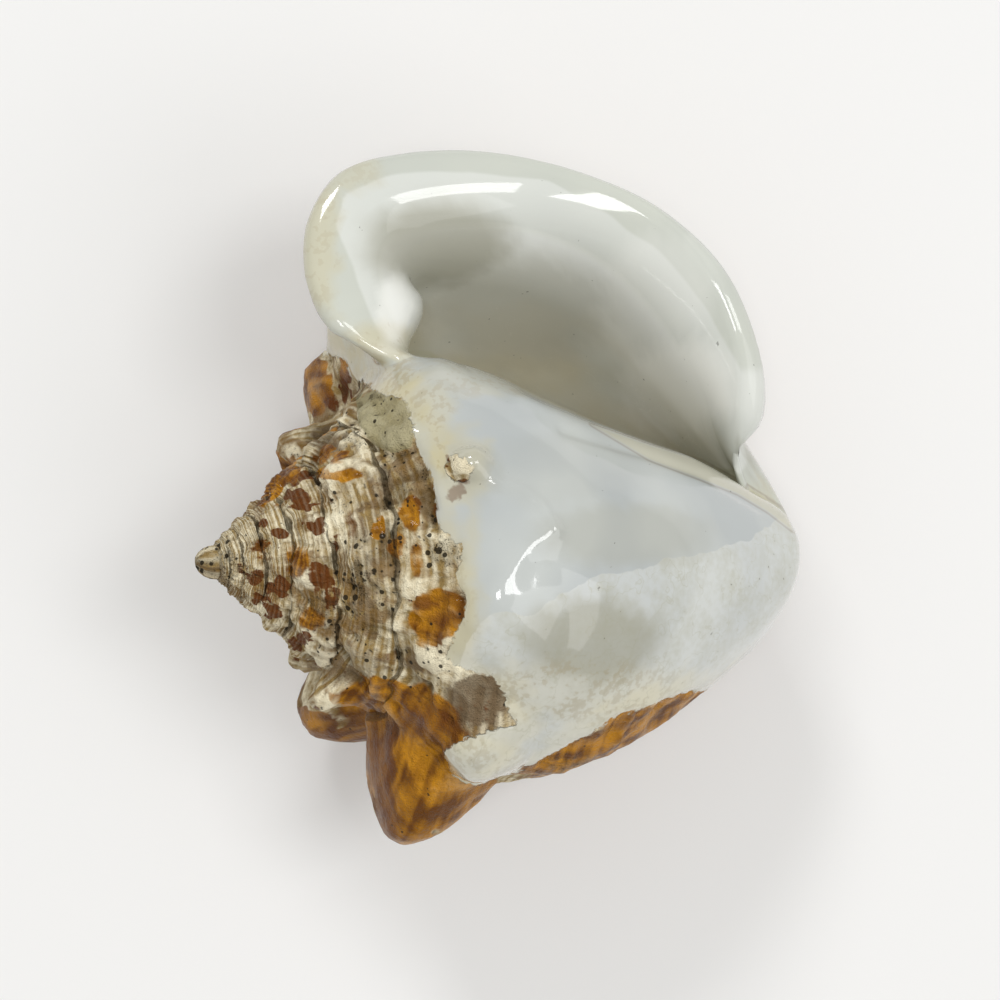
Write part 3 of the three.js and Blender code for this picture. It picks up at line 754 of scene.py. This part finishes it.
def trait_values(at, turns, columns, seen, given):
    """All traits of a grid of points. Those not given come from the photo's places or by chance."""
    turns, columns = np.broadcast_arrays(turns, columns)
    in_photo = photo_pixel(at)
    wobble = 6.0 * np.stack([noise(at, 3.0, seed=29), noise(at, 3.0, seed=31)], axis=-1)
    young = turns > -0.55
    near_knob = 0.2 + 0.4 * smooth_step(0.05, 0.12, turns) * (1 - smooth_step(0.4, 0.5, turns))
    by_chance = {
        "amber": np.where(young, near_knob + (1 - near_knob) * bands(turns, columns, 0.07, 37, -0.1),
                          bands(turns, columns, 0.05, 41, 0.25)),
        "brown": 0.8 * bands(turns, columns, 0.045, 43, 0.3) * (given["glaze"] < 0),
        "mauve": 0.6 * bands(turns, columns, 0.12, 47, 0.1),
        "grime": 0.5 * bands(turns, columns, 0.09, 53, 0.3),
        "bored": 0.5 * bands(turns, columns, 0.06, 59, 0.3) * np.where(turns > 0.4, 0.2, 1.0),
        "cream": 0.0, "shady": 0.0, "pale": 0.0,
    }
    values = {
        "turn": turns, "column": columns,
        "patchy": 0.5 + 0.5 * rough_noise(at, 6.0, seed=67),
        "broad": 0.5 + 0.5 * rough_noise(at, 22.0, seed=69),
    }
    for name, places in PATCHES.items():
        values[name] = seen * patches(places, in_photo, wobble) + (1 - seen) * by_chance[name]
    for name, outline in OUTLINES.items():
        away = outline_distance(in_photo, outline) * MM_PER_PIXEL
        values[name] = np.where(seen > 0.5, away, np.minimum(away, -2.0))
    values.update(given)
    return np.stack([np.broadcast_to(values[name], turns.shape) for name in TRAITS], axis=-1)


print({name: len(places) for name, places in PATCHES.items()})

# %% Traits of both grids
outside_traits = trait_values(outside, turn_grid, shares, smooth_step(-0.1, 0.1, facing), {
    "glaze": glaze, "suture": seam_distance, "hollow": is_floor * 1.0, "relief": height,
})
depth_share = np.clip((LIP_TURN - 0.03 - row_turns[CAVITY_ROW:]) / 0.2, 0, 1)[:, None]
ceiling_traits = trait_values(ceiling, row_turns[CAVITY_ROW:, None], shares[CAVITY_ROW:], 1.0, {
    "glaze": GLAZE_BEHIND_MM, "suture": FAR_FROM_SUTURE, "hollow": depth_share, "relief": 0.0,
})
print(len(TRAITS), "traits of each point")

# %% [markdown]
# ## One closed mesh
#
# The grid's points are numbered once, and the whorls share the numbers on their
# seams, so no doubles have to be merged afterwards. The rim of the lip is a half
# round between outside and ceiling.

# %% Points and faces
RIM_BULGE = 0.9
RIM_DIRECTION_ROWS = 3

points = []
traits = []
faces = []


def add_points(new, new_traits=None):
    """Numbers of points added to the mesh, with their traits for the material."""
    start = len(points)
    points.extend(new)
    traits.extend([IN_HOLLOW] * len(new) if new_traits is None else new_traits)
    return list(range(start, len(points)))


def add_face(*corners):
    """A face, without corners that repeat."""
    kept = [c for i, c in enumerate(corners) if c != corners[i - 1]]
    if len(set(kept)) > 2:
        faces.append(kept)


def add_strip(line, next_line):
    """Faces between two lines of points with as many points each."""
    for j in range(len(line) - 1):
        add_face(line[j], next_line[j], next_line[j + 1], line[j + 1])


front_id, inner_id = add_points([front_end, inner_end])
outside_ids = np.full(shares.shape, -1)
for row in range(LAST_ROW + 1):
    first = 0 if row < ROWS_PER_TURN else 1
    last = END - 1 if row >= BODY_ROW else SEAM
    shown = slice(first, last + 1)
    outside_ids[row, shown] = add_points(outside[row, shown], outside_traits[row, shown])
    if first:
        outside_ids[row, 0] = outside_ids[row - ROWS_PER_TURN, SEAM]
    if row >= BODY_ROW:
        outside_ids[row, END] = front_id
    elif row >= FLOOR_ROW:
        shown = slice(WALL_END, END)
        outside_ids[row, shown] = add_points(outside[row, shown], outside_traits[row, shown])
        outside_ids[row, END] = inner_id

ceiling_ids = np.full(ceiling.shape[:2], -1)
for i in range(len(ceiling)):
    ceiling_ids[i, 0] = outside_ids[FLOOR_ROW + i, WALL_END]
    ceiling_ids[i, 1:END] = add_points(ceiling[i, 1:END], ceiling_traits[i, 1:END])
    ceiling_ids[i, END] = inner_id
print(len(points), "points")

# %% Skin, hollow, rim and ends


def add_rim():
    """The half round between the lip's outer and inner edge."""
    outer, inner = outside[LAST_ROW], ceiling[-1]
    outward = unit(outer - outside[LAST_ROW - RIM_DIRECTION_ROWS])
    half = (outer - inner) / 2
    width = np.linalg.norm(half, axis=-1, keepdims=True)
    lines = [list(outside_ids[LAST_ROW])]
    for k in range(1, WALL_COLUMNS):
        angle = math.pi * k / WALL_COLUMNS
        line = (outer + inner) / 2 + half * math.cos(angle)
        line += outward * width * math.sin(angle) * RIM_BULGE
        new = add_points(line[1:END], ceiling_traits[-1, 1:END])
        lines.append([outside_ids[BODY_ROW, SEAM + k]] + new + [front_id])
    lines.append(list(ceiling_ids[-1]))
    for line, next_line in zip(lines, lines[1:]):
        add_strip(line, next_line)
    add_face(outside_ids[BODY_ROW, END - 1], front_id, inner_id)


def add_zip(floor_line, ceiling_line):
    """Triangles between two lines with different numbers of points."""
    def way(line):
        steps = np.linalg.norm(np.diff(np.array([points[i] for i in line]), axis=0), axis=1)
        return np.concatenate([[0], np.cumsum(steps)]) / steps.sum()

    floor_way, ceiling_way = way(floor_line), way(ceiling_line)
    a = b = 0
    while a < len(floor_line) - 1 or b < len(ceiling_line) - 1:
        at_end = b == len(ceiling_line) - 1
        if at_end or (a < len(floor_line) - 1 and floor_way[a + 1] <= ceiling_way[b + 1]):
            add_face(floor_line[a], floor_line[a + 1], ceiling_line[b])
            a += 1
        else:
            add_face(floor_line[a], ceiling_line[b + 1], ceiling_line[b])
            b += 1


for row in range(LAST_ROW):
    last = END if row >= BODY_ROW else SEAM
    add_strip(outside_ids[row, :last + 1], outside_ids[row + 1, :last + 1])
for row in range(FLOOR_ROW, BODY_ROW):
    next_line = outside_ids[row + 1, WALL_END:].copy()
    next_line[-1] = inner_id
    add_strip(outside_ids[row, WALL_END:], next_line)
for i in range(len(ceiling_ids) - 1):
    add_strip(ceiling_ids[i + 1], ceiling_ids[i])
add_rim()
add_zip(list(outside_ids[FLOOR_ROW, WALL_END:]), list(ceiling_ids[0]))


def add_apex(rings):
    """A worn, rounded tip on the first whorl's open start."""
    loop = list(outside_ids[:ROWS_PER_TURN, 0]) + list(outside_ids[0, SEAM:0:-1])
    start = np.array([points[i] for i in loop])
    height = (start - APEX) @ ALONG
    on_axis = APEX + np.multiply.outer(height, ALONG)
    loop_traits = np.array([traits[i] for i in loop])
    loop_traits[:, TRAITS.index("suture")] = FAR_FROM_SUTURE
    for k in range(1, rings):
        share = math.sin(math.pi / 2 * k / rings)
        width = math.cos(math.pi / 2 * k / rings)
        ring = on_axis - np.multiply.outer((height + APEX_OVERHANG) * share, ALONG)
        new = add_points(ring + (start - on_axis) * width, loop_traits)
        close_ring(loop, new)
        loop = new
    tip, = add_points([place(-APEX_OVERHANG, 0.0, 0.0)], loop_traits[:1])
    close_ring(loop, [tip] * len(loop))


def close_ring(ring, next_ring):
    """Faces between two closed rings."""
    add_strip(ring + ring[:1], next_ring + next_ring[:1])


add_apex(rings=5)
print(len(faces), "faces")

# %% [markdown]
# Where the lip meets the body, glaze has filled the corner and rounded it off. The
# seam of two whorls is too sharp there, so each point near it moves towards the
# middle of its neighbours, many times over. The real glaze levels in the same way.

# %% Callus where the lip meets the body
CALLUS_PIXEL = (384, 356)
CALLUS_PIXELS = 58.0
CALLUS_LEVEL = (62.0, 76.0)
CALLUS_PASSES = 40


def softened(places, weights, passes):
    """Points pulled between their neighbours, each as far as its weight says."""
    edges = np.array([(face[i - 1], corner) for face in faces for i, corner in enumerate(face)])
    edges = np.concatenate([edges, edges[:, ::-1]])
    edges = edges[weights[edges[:, 0]] > 0]
    many = np.maximum(np.bincount(edges[:, 0], minlength=len(places)), 1)[:, None]
    for _ in range(passes):
        sums = [np.bincount(edges[:, 0], places[edges[:, 1], k], len(places)) for k in range(3)]
        around = np.stack(sums, axis=1) / many
        places = places + (around - places) * weights[:, None] * 0.7
    return places


places = np.array(points)
nearness = 1 - np.linalg.norm(photo_pixel(places) - CALLUS_PIXEL, axis=1) / CALLUS_PIXELS
weights = smooth_step(0, 0.5, nearness) * smooth_step(*CALLUS_LEVEL, places @ TOWARDS_CAMERA)
points = list(softened(places, weights, CALLUS_PASSES))
traits = np.array(traits)
over_glaze = outline_distance(photo_pixel(places), GLAZE_LINE) * MM_PER_PIXEL
traits[:, 0] = np.where((weights > 0.1) & (over_glaze > traits[:, 0]), over_glaze, traits[:, 0])
print(int((weights > 0).sum()), "points softened")

# %% Mesh


def make_shell():
    """The shell's mesh object, in metres."""
    mesh = bpy.data.meshes.new("shell_skin")
    mesh.from_pydata((np.array(points) * MM).tolist(), [], [[int(c) for c in face] for face in faces])
    mesh.update()
    mesh.shade_smooth()
    for number, name in enumerate(TRAITS):
        trait = mesh.attributes.new(name, "FLOAT", "POINT")
        trait.data.foreach_set("value", np.array(traits, dtype=np.float32)[:, number].copy())
    shell = bpy.data.objects.new("shell_skin", mesh)
    bpy.context.scene.collection.objects.link(shell)
    return shell


shell = make_shell()
triangles = sum(len(polygon.vertices) - 2 for polygon in shell.data.polygons)
print(triangles, "triangles")

# %% [markdown]
# ## Nodes as sums
#
# The pits and the finish are node trees. A small class stands for one wire of such
# a tree, so that a sum written in Python makes the nodes for it. Nodes placed one
# by one would do the same in four times as many lines.

# %% Nodes as sums


class Wire:
    """A value in a node tree that Python's operators can reach."""

    def __init__(self, tree, socket):
        self.tree = tree
        self.socket = socket

    def math(self, operation, *others):
        return node(self.tree, "ShaderNodeMath", {"operation": operation}, [self, *others])

    def __add__(self, other):
        return self.math("ADD", other)

    __radd__ = __add__

    def __mul__(self, other):
        return self.math("MULTIPLY", other)

    __rmul__ = __mul__

    def __sub__(self, other):
        return self.math("SUBTRACT", other)

    def __rsub__(self, other):
        return node(self.tree, "ShaderNodeMath", {"operation": "SUBTRACT"}, [other, self])

    def __pow__(self, other):
        return self.math("POWER", other)

    def other(self, name):
        """Another output of the same node."""
        return Wire(self.tree, self.socket.node.outputs[name])

    def limited(self):
        """Between 0 and 1."""
        return node(self.tree, "ShaderNodeClamp", {}, [self])

    def step(self, start, end):
        """0 before start and 1 after end, with a soft change between."""
        ends = {"Value": self, "From Min": start, "From Max": end}
        return node(self.tree, "ShaderNodeMapRange", {"interpolation_type": "SMOOTHSTEP"}, ends)


def node(tree, kind, settings, inputs, output=0):
    """A node with its settings, and values or wires on its sockets. Returns one output as a wire."""
    made = tree.nodes.new(kind)
    for name, value in settings.items():
        setattr(made, name, value)
    pairs = inputs.items() if isinstance(inputs, dict) else enumerate(inputs)
    for key, value in pairs:
        if isinstance(value, Wire):
            tree.links.new(value.socket, made.inputs[key])
        else:
            made.inputs[key].default_value = value
    return Wire(tree, made.outputs[output])


def paint(red, green, blue):
    """A colour as seen on a screen, 0 to 255, as the shader wants it."""
    def linear(value):
        value /= 255
        return value / 12.92 if value <= 0.04045 else ((value + 0.055) / 1.055) ** 2.4

    return (linear(red), linear(green), linear(blue), 1.0)


MIX_A, MIX_B, MIX_RESULT = 6, 7, 2


def blend(tree, share, color_a, color_b):
    """Colour a at share 0, colour b at share 1."""
    settings = {"data_type": "RGBA"}
    return node(tree, "ShaderNodeMix", settings, {0: share, MIX_A: color_a, MIX_B: color_b}, MIX_RESULT)


print("an amber:", [round(part, 3) for part in paint(190, 130, 22)])

# %% [markdown]
# ## Pits
#
# Boring animals left round pits in the old shell. They repeat over a surface, so
# Geometry Nodes make them: points are scattered where the shell is worn, and each
# vertex near one sinks in. The tree also notes how deep, for the dark colour in
# the pits. Holes cut as booleans would ruin the even mesh for no gain.

# %% Pits with Geometry Nodes
PIT_INPUTS = {
    "Spacing": ("NodeSocketFloat", 3.2 * MM), "Radius": ("NodeSocketFloat", 1.2 * MM),
    "Depth": ("NodeSocketFloat", 0.9 * MM), "Seed": ("NodeSocketInt", 5),
    "Material": ("NodeSocketMaterial", None),
}
MANY_PER_SQUARE_METRE = 90000.0


def tree_input(tree, name, kind, default):
    """A named input of a node tree. Returns its identifier."""
    socket = tree.interface.new_socket(name, in_out="INPUT", socket_type=kind)
    if default is not None:
        socket.default_value = default
    return socket.identifier


def pit_tree():
    """A tree that sinks round pits into a mesh where its attribute 'pitting' is above 0."""
    tree = bpy.data.node_groups.new("pits", "GeometryNodeTree")
    tree_input(tree, "Geometry", "NodeSocketGeometry", None)
    ids = {name: tree_input(tree, name, kind, value) for name, (kind, value) in PIT_INPUTS.items()}
    tree.interface.new_socket("Geometry", in_out="OUTPUT", socket_type="NodeSocketGeometry")
    given = node(tree, "NodeGroupInput", {}, {}, "Geometry")

    floats, named = {"data_type": "FLOAT"}, {"Name": "pitting"}
    pitting = node(tree, "GeometryNodeInputNamedAttribute", floats, named, "Attribute")
    scatter = {
        "Mesh": given, "Density Max": MANY_PER_SQUARE_METRE, "Density Factor": pitting,
        "Distance Min": given.other("Spacing"), "Seed": given.other("Seed"),
    }
    method = {"distribute_method": "POISSON"}
    centers = node(tree, "GeometryNodeDistributePointsOnFaces", method, scatter, "Points")
    nearest = {"target_element": "POINTS"}
    away = node(tree, "GeometryNodeProximity", nearest, {"Geometry": centers}, "Distance")
    slope = {"Value": away, "From Min": 0.0, "From Max": given.other("Radius")}
    slope.update({"To Min": 1.0, "To Max": 0.0})
    bowl = node(tree, "ShaderNodeMapRange", {"interpolation_type": "SMOOTHSTEP"}, slope, "Result")

    on_points = {"data_type": "FLOAT", "domain": "POINT"}
    noted = {"Geometry": given, "Name": "pit", "Value": bowl}
    noted = node(tree, "GeometryNodeStoreNamedAttribute", on_points, noted, "Geometry")
    normal = node(tree, "GeometryNodeInputNormal", {}, {}, "Normal")
    inward = {0: normal, "Scale": bowl * given.other("Depth") * -1.0}
    inward = node(tree, "ShaderNodeVectorMath", {"operation": "SCALE"}, inward, "Vector")
    sunk = node(tree, "GeometryNodeSetPosition", {}, {"Geometry": noted, "Offset": inward})
    realized = node(tree, "GeometryNodeRealizeInstances", {}, {"Geometry": sunk})
    finish = {"Geometry": realized, "Material": given.other("Material")}
    finish = node(tree, "GeometryNodeSetMaterial", {}, finish)
    result = tree.nodes.new("NodeGroupOutput")
    tree.links.new(finish.socket, result.inputs["Geometry"])
    return tree, ids


def pitted(shell, material):
    """The shell with its pits, as a plain mesh."""
    glaze_mm = np.empty(len(shell.data.vertices), dtype=np.float32)
    shell.data.attributes["glaze"].data.foreach_get("value", glaze_mm)
    bored = np.empty_like(glaze_mm)
    shell.data.attributes["bored"].data.foreach_get("value", bored)
    attribute = shell.data.attributes.new("pitting", "FLOAT", "POINT")
    attribute.data.foreach_set("value", (glaze_mm < BARE_MM) * bored)
    tree, ids = pit_tree()
    modifier = shell.modifiers.new("pits", "NODES")
    modifier.node_group = tree
    for name, (_, value) in PIT_INPUTS.items():
        modifier[ids[name]] = material if name == "Material" else value
    evaluated = shell.evaluated_get(bpy.context.evaluated_depsgraph_get())
    mesh = bpy.data.meshes.new_from_object(evaluated)
    shell.modifiers.remove(modifier)
    shell.data = mesh
    return mesh


print("pits at least", PIT_INPUTS["Spacing"][1] / MM, "mm apart")

# %% [markdown]
# ## Finish
#
# One material covers the whole shell, because on the real one the glaze, the old
# shell and the dirt run into each other. It mixes their colours, roughness and
# fine bumps by the traits that the mesh carries. An image could hold the same, but
# it would fit one view only, and these rules go right round.

# %% Palette and noises
GLAZE_WHITE = paint(193, 197, 194)
GLAZE_COOL = paint(179, 184, 184)
GLAZE_BRIGHT = paint(228, 230, 226)
# Pale glaze of the lowest layer, also used as painted light
PALE_GLAZE_AND_PAINTED_LIGHT = paint(250, 250, 244)
GLAZE_RIM = paint(216, 218, 200)
GLAZE_CREAM = paint(200, 192, 158)
GLAZE_OLIVE = paint(172, 170, 146)
# Painted shade on the glaze
PAINTED_SHADE_GREY = paint(158, 156, 138)
# The hollow's own grey and warm tints, made lighter than the outer glaze as painted light
HOLLOW_GREY_AND_PAINTED_LIGHT = paint(212, 210, 189)
HOLLOW_WARM_AND_PAINTED_LIGHT = paint(208, 196, 158)
OLD_BEIGE = paint(156, 131, 82)
OLD_WHITE = paint(246, 236, 206)
OLD_STAIN = paint(116, 84, 36)
OLD_MAUVE = paint(116, 97, 72)
FLAP_GREEN = paint(162, 154, 118)
AMBER_LIGHT = paint(190, 130, 22)
AMBER_DARK = paint(104, 60, 2)
RED_BROWN = paint(100, 54, 14)
DIRT = paint(46, 37, 18)
PIT_DARK = paint(34, 28, 16)


def trait(tree, name):
    """A number that the mesh carries."""
    return node(tree, "ShaderNodeAttribute", {"attribute_name": name}, {}, "Fac")


def noise_wire(tree, place, scale, detail):
    """Noise around 0.5 at object coordinates in mm."""
    return node(tree, "ShaderNodeTexNoise", {}, {"Vector": place, "Scale": scale, "Detail": detail}, "Fac")


print("white glaze:", [round(part, 3) for part in GLAZE_WHITE])

# %% [markdown]
# The old shell's colour is built up as the real one is: a beige ground with white
# cords, stains along the growth lines, then brown and amber where the animal laid
# them, and last dirt in the sutures and grime patches, and darker colour wherever
# the relief lies low.

# %% Old shell


def old_shell(tree, t, grain, fine, lines, cords, dark):
    """Colour of the old shell, and how amber and how darkened it is."""
    growth = t["growth"]
    spots = fine - 0.5
    color = blend(tree, (cords * 2.4 + spots * 1.5 - 0.85).limited(), OLD_BEIGE, OLD_WHITE)
    stain = (t["patchy"] + (growth - 0.5) * 0.9 + spots * 0.6).step(0.45, 0.7)
    color = blend(tree, stain * 0.75, color, OLD_STAIN)
    mauve = (t["mauve"] * 0.8 + spots).step(0.15, 0.7)
    color = blend(tree, mauve * 0.8, color, OLD_MAUVE)
    high = (t["relief"] + spots * 1.4).step(0.4, 1.5)
    streaks = lines * cords.step(0.4, 0.6) * growth.step(0.3, 0.6) * t["broad"].step(0.3, 0.6)
    color = blend(tree, (high * 0.8 + streaks * 0.6).limited(), color, OLD_WHITE)
    color = blend(tree, t["mauve"].step(0.8, 0.95) * 0.85, color, OLD_MAUVE)
    brown = (t["brown"] * 1.1 + spots * 1.1 + (growth - 0.5) * 1.4 + (cords - 0.5) * 0.8).step(0.35, 0.65)
    color = blend(tree, brown * (1 - lines * 0.12), color, RED_BROWN)
    amber = (t["amber"] + (t["patchy"] - 0.5) * 0.4 + (growth - 0.5) * 0.5).step(0.28, 0.55)
    shade = (growth * 2.6 + (cords - 0.5) * 1.4 + (t["patchy"] - 0.5) * 1.2 - lines * 0.25 - 0.65).limited()
    amber_color = blend(tree, shade, AMBER_LIGHT, AMBER_DARK)
    color = blend(tree, amber * (1 - high * 0.12), color, amber_color)
    color = blend(tree, (amber * t["brown"] * 1.6).limited() * 0.7, color, RED_BROWN)
    on_flap = (t["flap"] + spots).step(-0.2, 0.4)
    color = blend(tree, on_flap * 0.85, color, FLAP_GREEN)
    # Darker wherever the relief lies low, less so on amber
    low = (1.0 - (t["relief"] + spots * 1.5).step(-1.6, -0.4)) * (1 - amber * 0.7)
    crack = (1.0 - (t["suture"] + spots * 4.0).step(0.0, 0.8)) * t["patchy"] * 0.9
    speckle = grain.step(0.55, 0.70)
    grime = (t["grime"] + spots * 1.6).step(0.3, 0.8) * (speckle * 0.6 + 0.4)
    darkening = (grime + crack + low * 0.5).limited()
    color = blend(tree, (darkening * 0.8 + speckle * (1 - amber) * 0.2).limited(), color, DIRT)
    return blend(tree, dark * 0.92, color, PIT_DARK), amber, darkening


# %% [markdown]
# The glaze is nearly white, in layers. It is cream where it thins out at its edge
# and clearer on the lip. Painted shade greys it high in the hollow and on the lower
# body, and painted light brightens it on the right of the hollow and on the pad.
# Deep in the hollow its warm-grey tint is lighter than the outer glaze, as painted light.

# %% Glaze


def glaze_color(tree, t, fine, cracks):
    """Colour of the glaze."""
    color = blend(tree, (t["broad"] * 1.8 - 0.4).limited(), GLAZE_WHITE, GLAZE_COOL)
    lip = t["lip_layer"] + (t["broad"] - 0.5) * 3.0
    on_lip = t["hollow"].step(-0.02, 0.02) * t["turn"].step(0.4, 0.5)
    color = blend(tree, on_lip * 0.9, color, GLAZE_RIM)
    color = blend(tree, lip.step(-0.6, 0.5) * on_lip, color, GLAZE_BRIGHT)
    margin = 1.0 - (t["glaze"] + (t["patchy"] - 0.5) * 9.0).step(0.3, 8.0)
    color = blend(tree, (margin * 0.55 + t["cream"] * 0.6).limited(), color, GLAZE_CREAM)
    low = (t["low_layer"] + (t["patchy"] - 0.5) * 3.0).step(-0.15, 0.3)
    murky = (t["patchy"] - 0.2 + (fine - 0.5) * 1.5 + cracks * 0.6).limited()
    color = blend(tree, low * 0.22, color, PALE_GLAZE_AND_PAINTED_LIGHT)
    color = blend(tree, low * murky * 0.45, color, GLAZE_OLIVE)
    fold = t["fold_layer"]
    color = blend(tree, fold.step(-0.3, 0.5) * 0.5, color, GLAZE_CREAM)
    line = (1.0 - (fold + 0.3).math("ABSOLUTE").step(0.0, 0.45)) * 0.35
    color = blend(tree, line, color, OLD_STAIN)
    # Deep in the hollow: its own warm-grey tint, lighter than the outer glaze as painted light
    deep = blend(tree, t["broad"].step(0.2, 0.8), HOLLOW_GREY_AND_PAINTED_LIGHT, HOLLOW_WARM_AND_PAINTED_LIGHT)
    color = blend(tree, t["hollow"] * 0.85, color, deep)
    # Painted shade, then painted light, on the glaze
    color = blend(tree, t["shady"] * 0.8, color, PAINTED_SHADE_GREY)
    color = blend(tree, t["pale"] * 0.9, color, PALE_GLAZE_AND_PAINTED_LIGHT)
    crust = t["cream"] * (fine + (t["patchy"] - 0.5) * 0.4).step(0.5, 0.6) * (1.0 - on_lip)
    color = blend(tree, crust * 0.3, color, OLD_BEIGE)
    stain = (t["brown"] * 1.2 + (fine - 0.5) * 1.4).step(0.4, 0.9)
    color = blend(tree, stain * 0.55, color, RED_BROWN)
    dust = fine.step(0.74, 0.76)
    return blend(tree, dust * 0.5, color, DIRT)


# %% [markdown]
# The material joins both. A weak base reflection keeps the worn shell dull, and a
# clear coat over it gives the glaze its shine, as the real layer does.

# %% Shell material
BASE_IOR = 1.22
COAT_IOR = 1.55
COAT_ROUGHNESS = 0.05
FINE_PER_MM = 0.55
GRAIN_PER_MM = 2.2
HOLES_PER_MM = 0.45
VEINS_PER_MM = 0.11
GROWTH_LINES = (75.0, 9.0)
CORD_LINES = (8.0, 62.0)


def shell_finish():
    """The shell's material."""
    material = bpy.data.materials.new("shell")
    material.use_nodes = True
    tree = material.node_tree
    surface = tree.nodes["Principled BSDF"]
    place = node(tree, "ShaderNodeTexCoord", {}, {}, "Object")
    in_mm = node(tree, "ShaderNodeVectorMath", {"operation": "SCALE"}, {0: place, "Scale": 1 / MM})
    t = {name: trait(tree, name) for name in TRAITS + ("pit",)}

    fine = noise_wire(tree, in_mm, FINE_PER_MM, 3.0)
    grain = noise_wire(tree, in_mm, GRAIN_PER_MM, 2.0)
    along_growth, along_cords = (
        node(tree, "ShaderNodeCombineXYZ", {}, {"X": t["turn"] * across, "Y": t["column"] * down})
        for across, down in (GROWTH_LINES, CORD_LINES)
    )
    t["growth"] = noise_wire(tree, along_growth, 1.0, 2.0)
    cords = noise_wire(tree, along_cords, 1.0, 1.0)
    wave = t["column"] * (2 * math.pi * CORDS_PER_PROFILE * 2) + (fine - 0.5) * 3.0
    lines = wave.math("COSINE") * 0.5 + 0.5
    cells = {"Vector": in_mm, "Scale": HOLES_PER_MM}
    holes = node(tree, "ShaderNodeTexVoronoi", {"feature": "F1"}, cells, "Distance")
    chance = node(tree, "ShaderNodeSeparateColor", {}, [holes.other("Color")], "Red")
    size = (chance + t["bored"] * 0.6 - 0.72).limited()
    small_pits = (1.0 - (holes - size * 0.45).step(0.02, 0.10)) * size.step(0.0, 0.03)
    dark = (small_pits + t["pit"].step(0.35, 0.8)).limited()
    veins = noise_wire(tree, in_mm, VEINS_PER_MM, 3.0)
    cracks = 1.0 - (veins - 0.5).math("ABSOLUTE").step(0.0, 0.012)

    glazed = (t["glaze"] + (fine - 0.5) * 3.2).step(-0.3, 0.3)
    old, amber, darkening = old_shell(tree, t, grain, fine, lines, cords, dark)
    color = blend(tree, glazed, old, glaze_color(tree, t, fine, cracks))
    tree.links.new(color.socket, surface.inputs["Base Color"])

    dull = 0.6 - amber * 0.25 + (grain - 0.5) * 0.3 + darkening * 0.2
    roughness = dull * (1.0 - glazed) + (0.12 + t["hollow"] * 0.15 + cracks * 0.1) * glazed
    tree.links.new(roughness.limited().socket, surface.inputs["Roughness"])
    lip = t["hollow"].step(-0.02, 0.02) * t["turn"].step(0.4, 0.5)
    glaze_coat = glazed * 0.95 * (1.0 - t["hollow"] * 0.6) * (1.0 - lip * 0.6)
    coat = glaze_coat + (1.0 - glazed) * amber * 0.15
    tree.links.new(coat.limited().socket, surface.inputs["Coat Weight"])
    surface.inputs["Coat Roughness"].default_value = COAT_ROUGHNESS
    surface.inputs["Coat IOR"].default_value = COAT_IOR
    surface.inputs["IOR"].default_value = BASE_IOR

    old_height = lines * 0.12 + cords * 0.5 + t["growth"] * 0.9 + grain * 0.35 + fine * 0.9
    height = old_height * (1.0 - glazed) + glazed * 0.8
    bump = node(tree, "ShaderNodeBump", {}, {"Strength": 1.0, "Distance": MM, "Height": height}, "Normal")
    tree.links.new(bump.socket, surface.inputs["Normal"])
    return material


shell_material = shell_finish()
mesh = pitted(shell, shell_material)
print(len(mesh.polygons), "faces with pits,", len(shell_material.node_tree.nodes), "shader nodes")

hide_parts("conch_shell")
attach(shell, "root")

# %% [markdown]
# ## Floor and light
#
# The photo has a pale floor and soft daylight. A window to the upper left gives the
# lip its highlights, a side window gives the streak on the body, and a ceiling, a
# pale wall and the room around fill the shadows.

# %% Floor
FLOOR_SIDE = 12.0


def plain_material(name, color, roughness):
    """A material of one colour."""
    material = bpy.data.materials.new(name)
    material.use_nodes = True
    surface = material.node_tree.nodes["Principled BSDF"]
    surface.inputs["Base Color"].default_value = (*color, 1)
    surface.inputs["Roughness"].default_value = roughness
    return material


def make_floor():
    """A flat floor under the shell."""
    half = FLOOR_SIDE / 2
    mesh = bpy.data.meshes.new("floor")
    corners = [(-half, -half, 0), (half, -half, 0), (half, half, 0), (-half, half, 0)]
    mesh.from_pydata(corners, [], [(0, 1, 2, 3)])
    mesh.materials.append(plain_material("paper", (0.84, 0.838, 0.83), 0.9))
    floor = bpy.data.objects.new("floor", mesh)
    bpy.context.scene.collection.objects.link(floor)
    return floor


floor = make_floor()
print("floor of", FLOOR_SIDE, "m")

# %% Lights
# Position, size and watts
LIGHTS = {
    "window": ((-0.9, 2.5, 2.6), (0.9, 0.7), 38),
    "side window": ((1.2, 0.3, 3.3), (0.9, 1.2), 24),
    "wall": ((1.8, -1.0, 2.4), (2.0, 2.0), 15),
    "ceiling": ((-0.5, -0.2, 3.7), (1.0, 0.7), 26),
}
ROOM_COLOR = (1.0, 0.995, 0.975, 1)
ROOM_STRENGTH = 0.44


def add_light(name, position, target, size, watts):
    """A square soft light that points from a position to a target, in metres."""
    data = bpy.data.lights.new(name, "AREA")
    data.shape = "RECTANGLE"
    data.size, data.size_y = size
    data.energy = watts
    light = bpy.data.objects.new(name, data)
    back = (Vector(position) - Vector(target)).normalized()
    light.matrix_world = Matrix.LocRotScale(Vector(position), back.to_track_quat("Z", "Y"), None)
    bpy.context.scene.collection.objects.link(light)


middle = Vector(LOOKS_AT * MM)
for name, (position, size, watts) in LIGHTS.items():
    add_light(name, position, middle, size, watts)
world = bpy.data.worlds.new("room")
world.use_nodes = True
world.node_tree.nodes["Background"].inputs["Color"].default_value = ROOM_COLOR
world.node_tree.nodes["Background"].inputs["Strength"].default_value = ROOM_STRENGTH
bpy.context.scene.world = world
bpy.context.scene.view_settings.view_transform = "Standard"
print(len(LIGHTS), "lights")
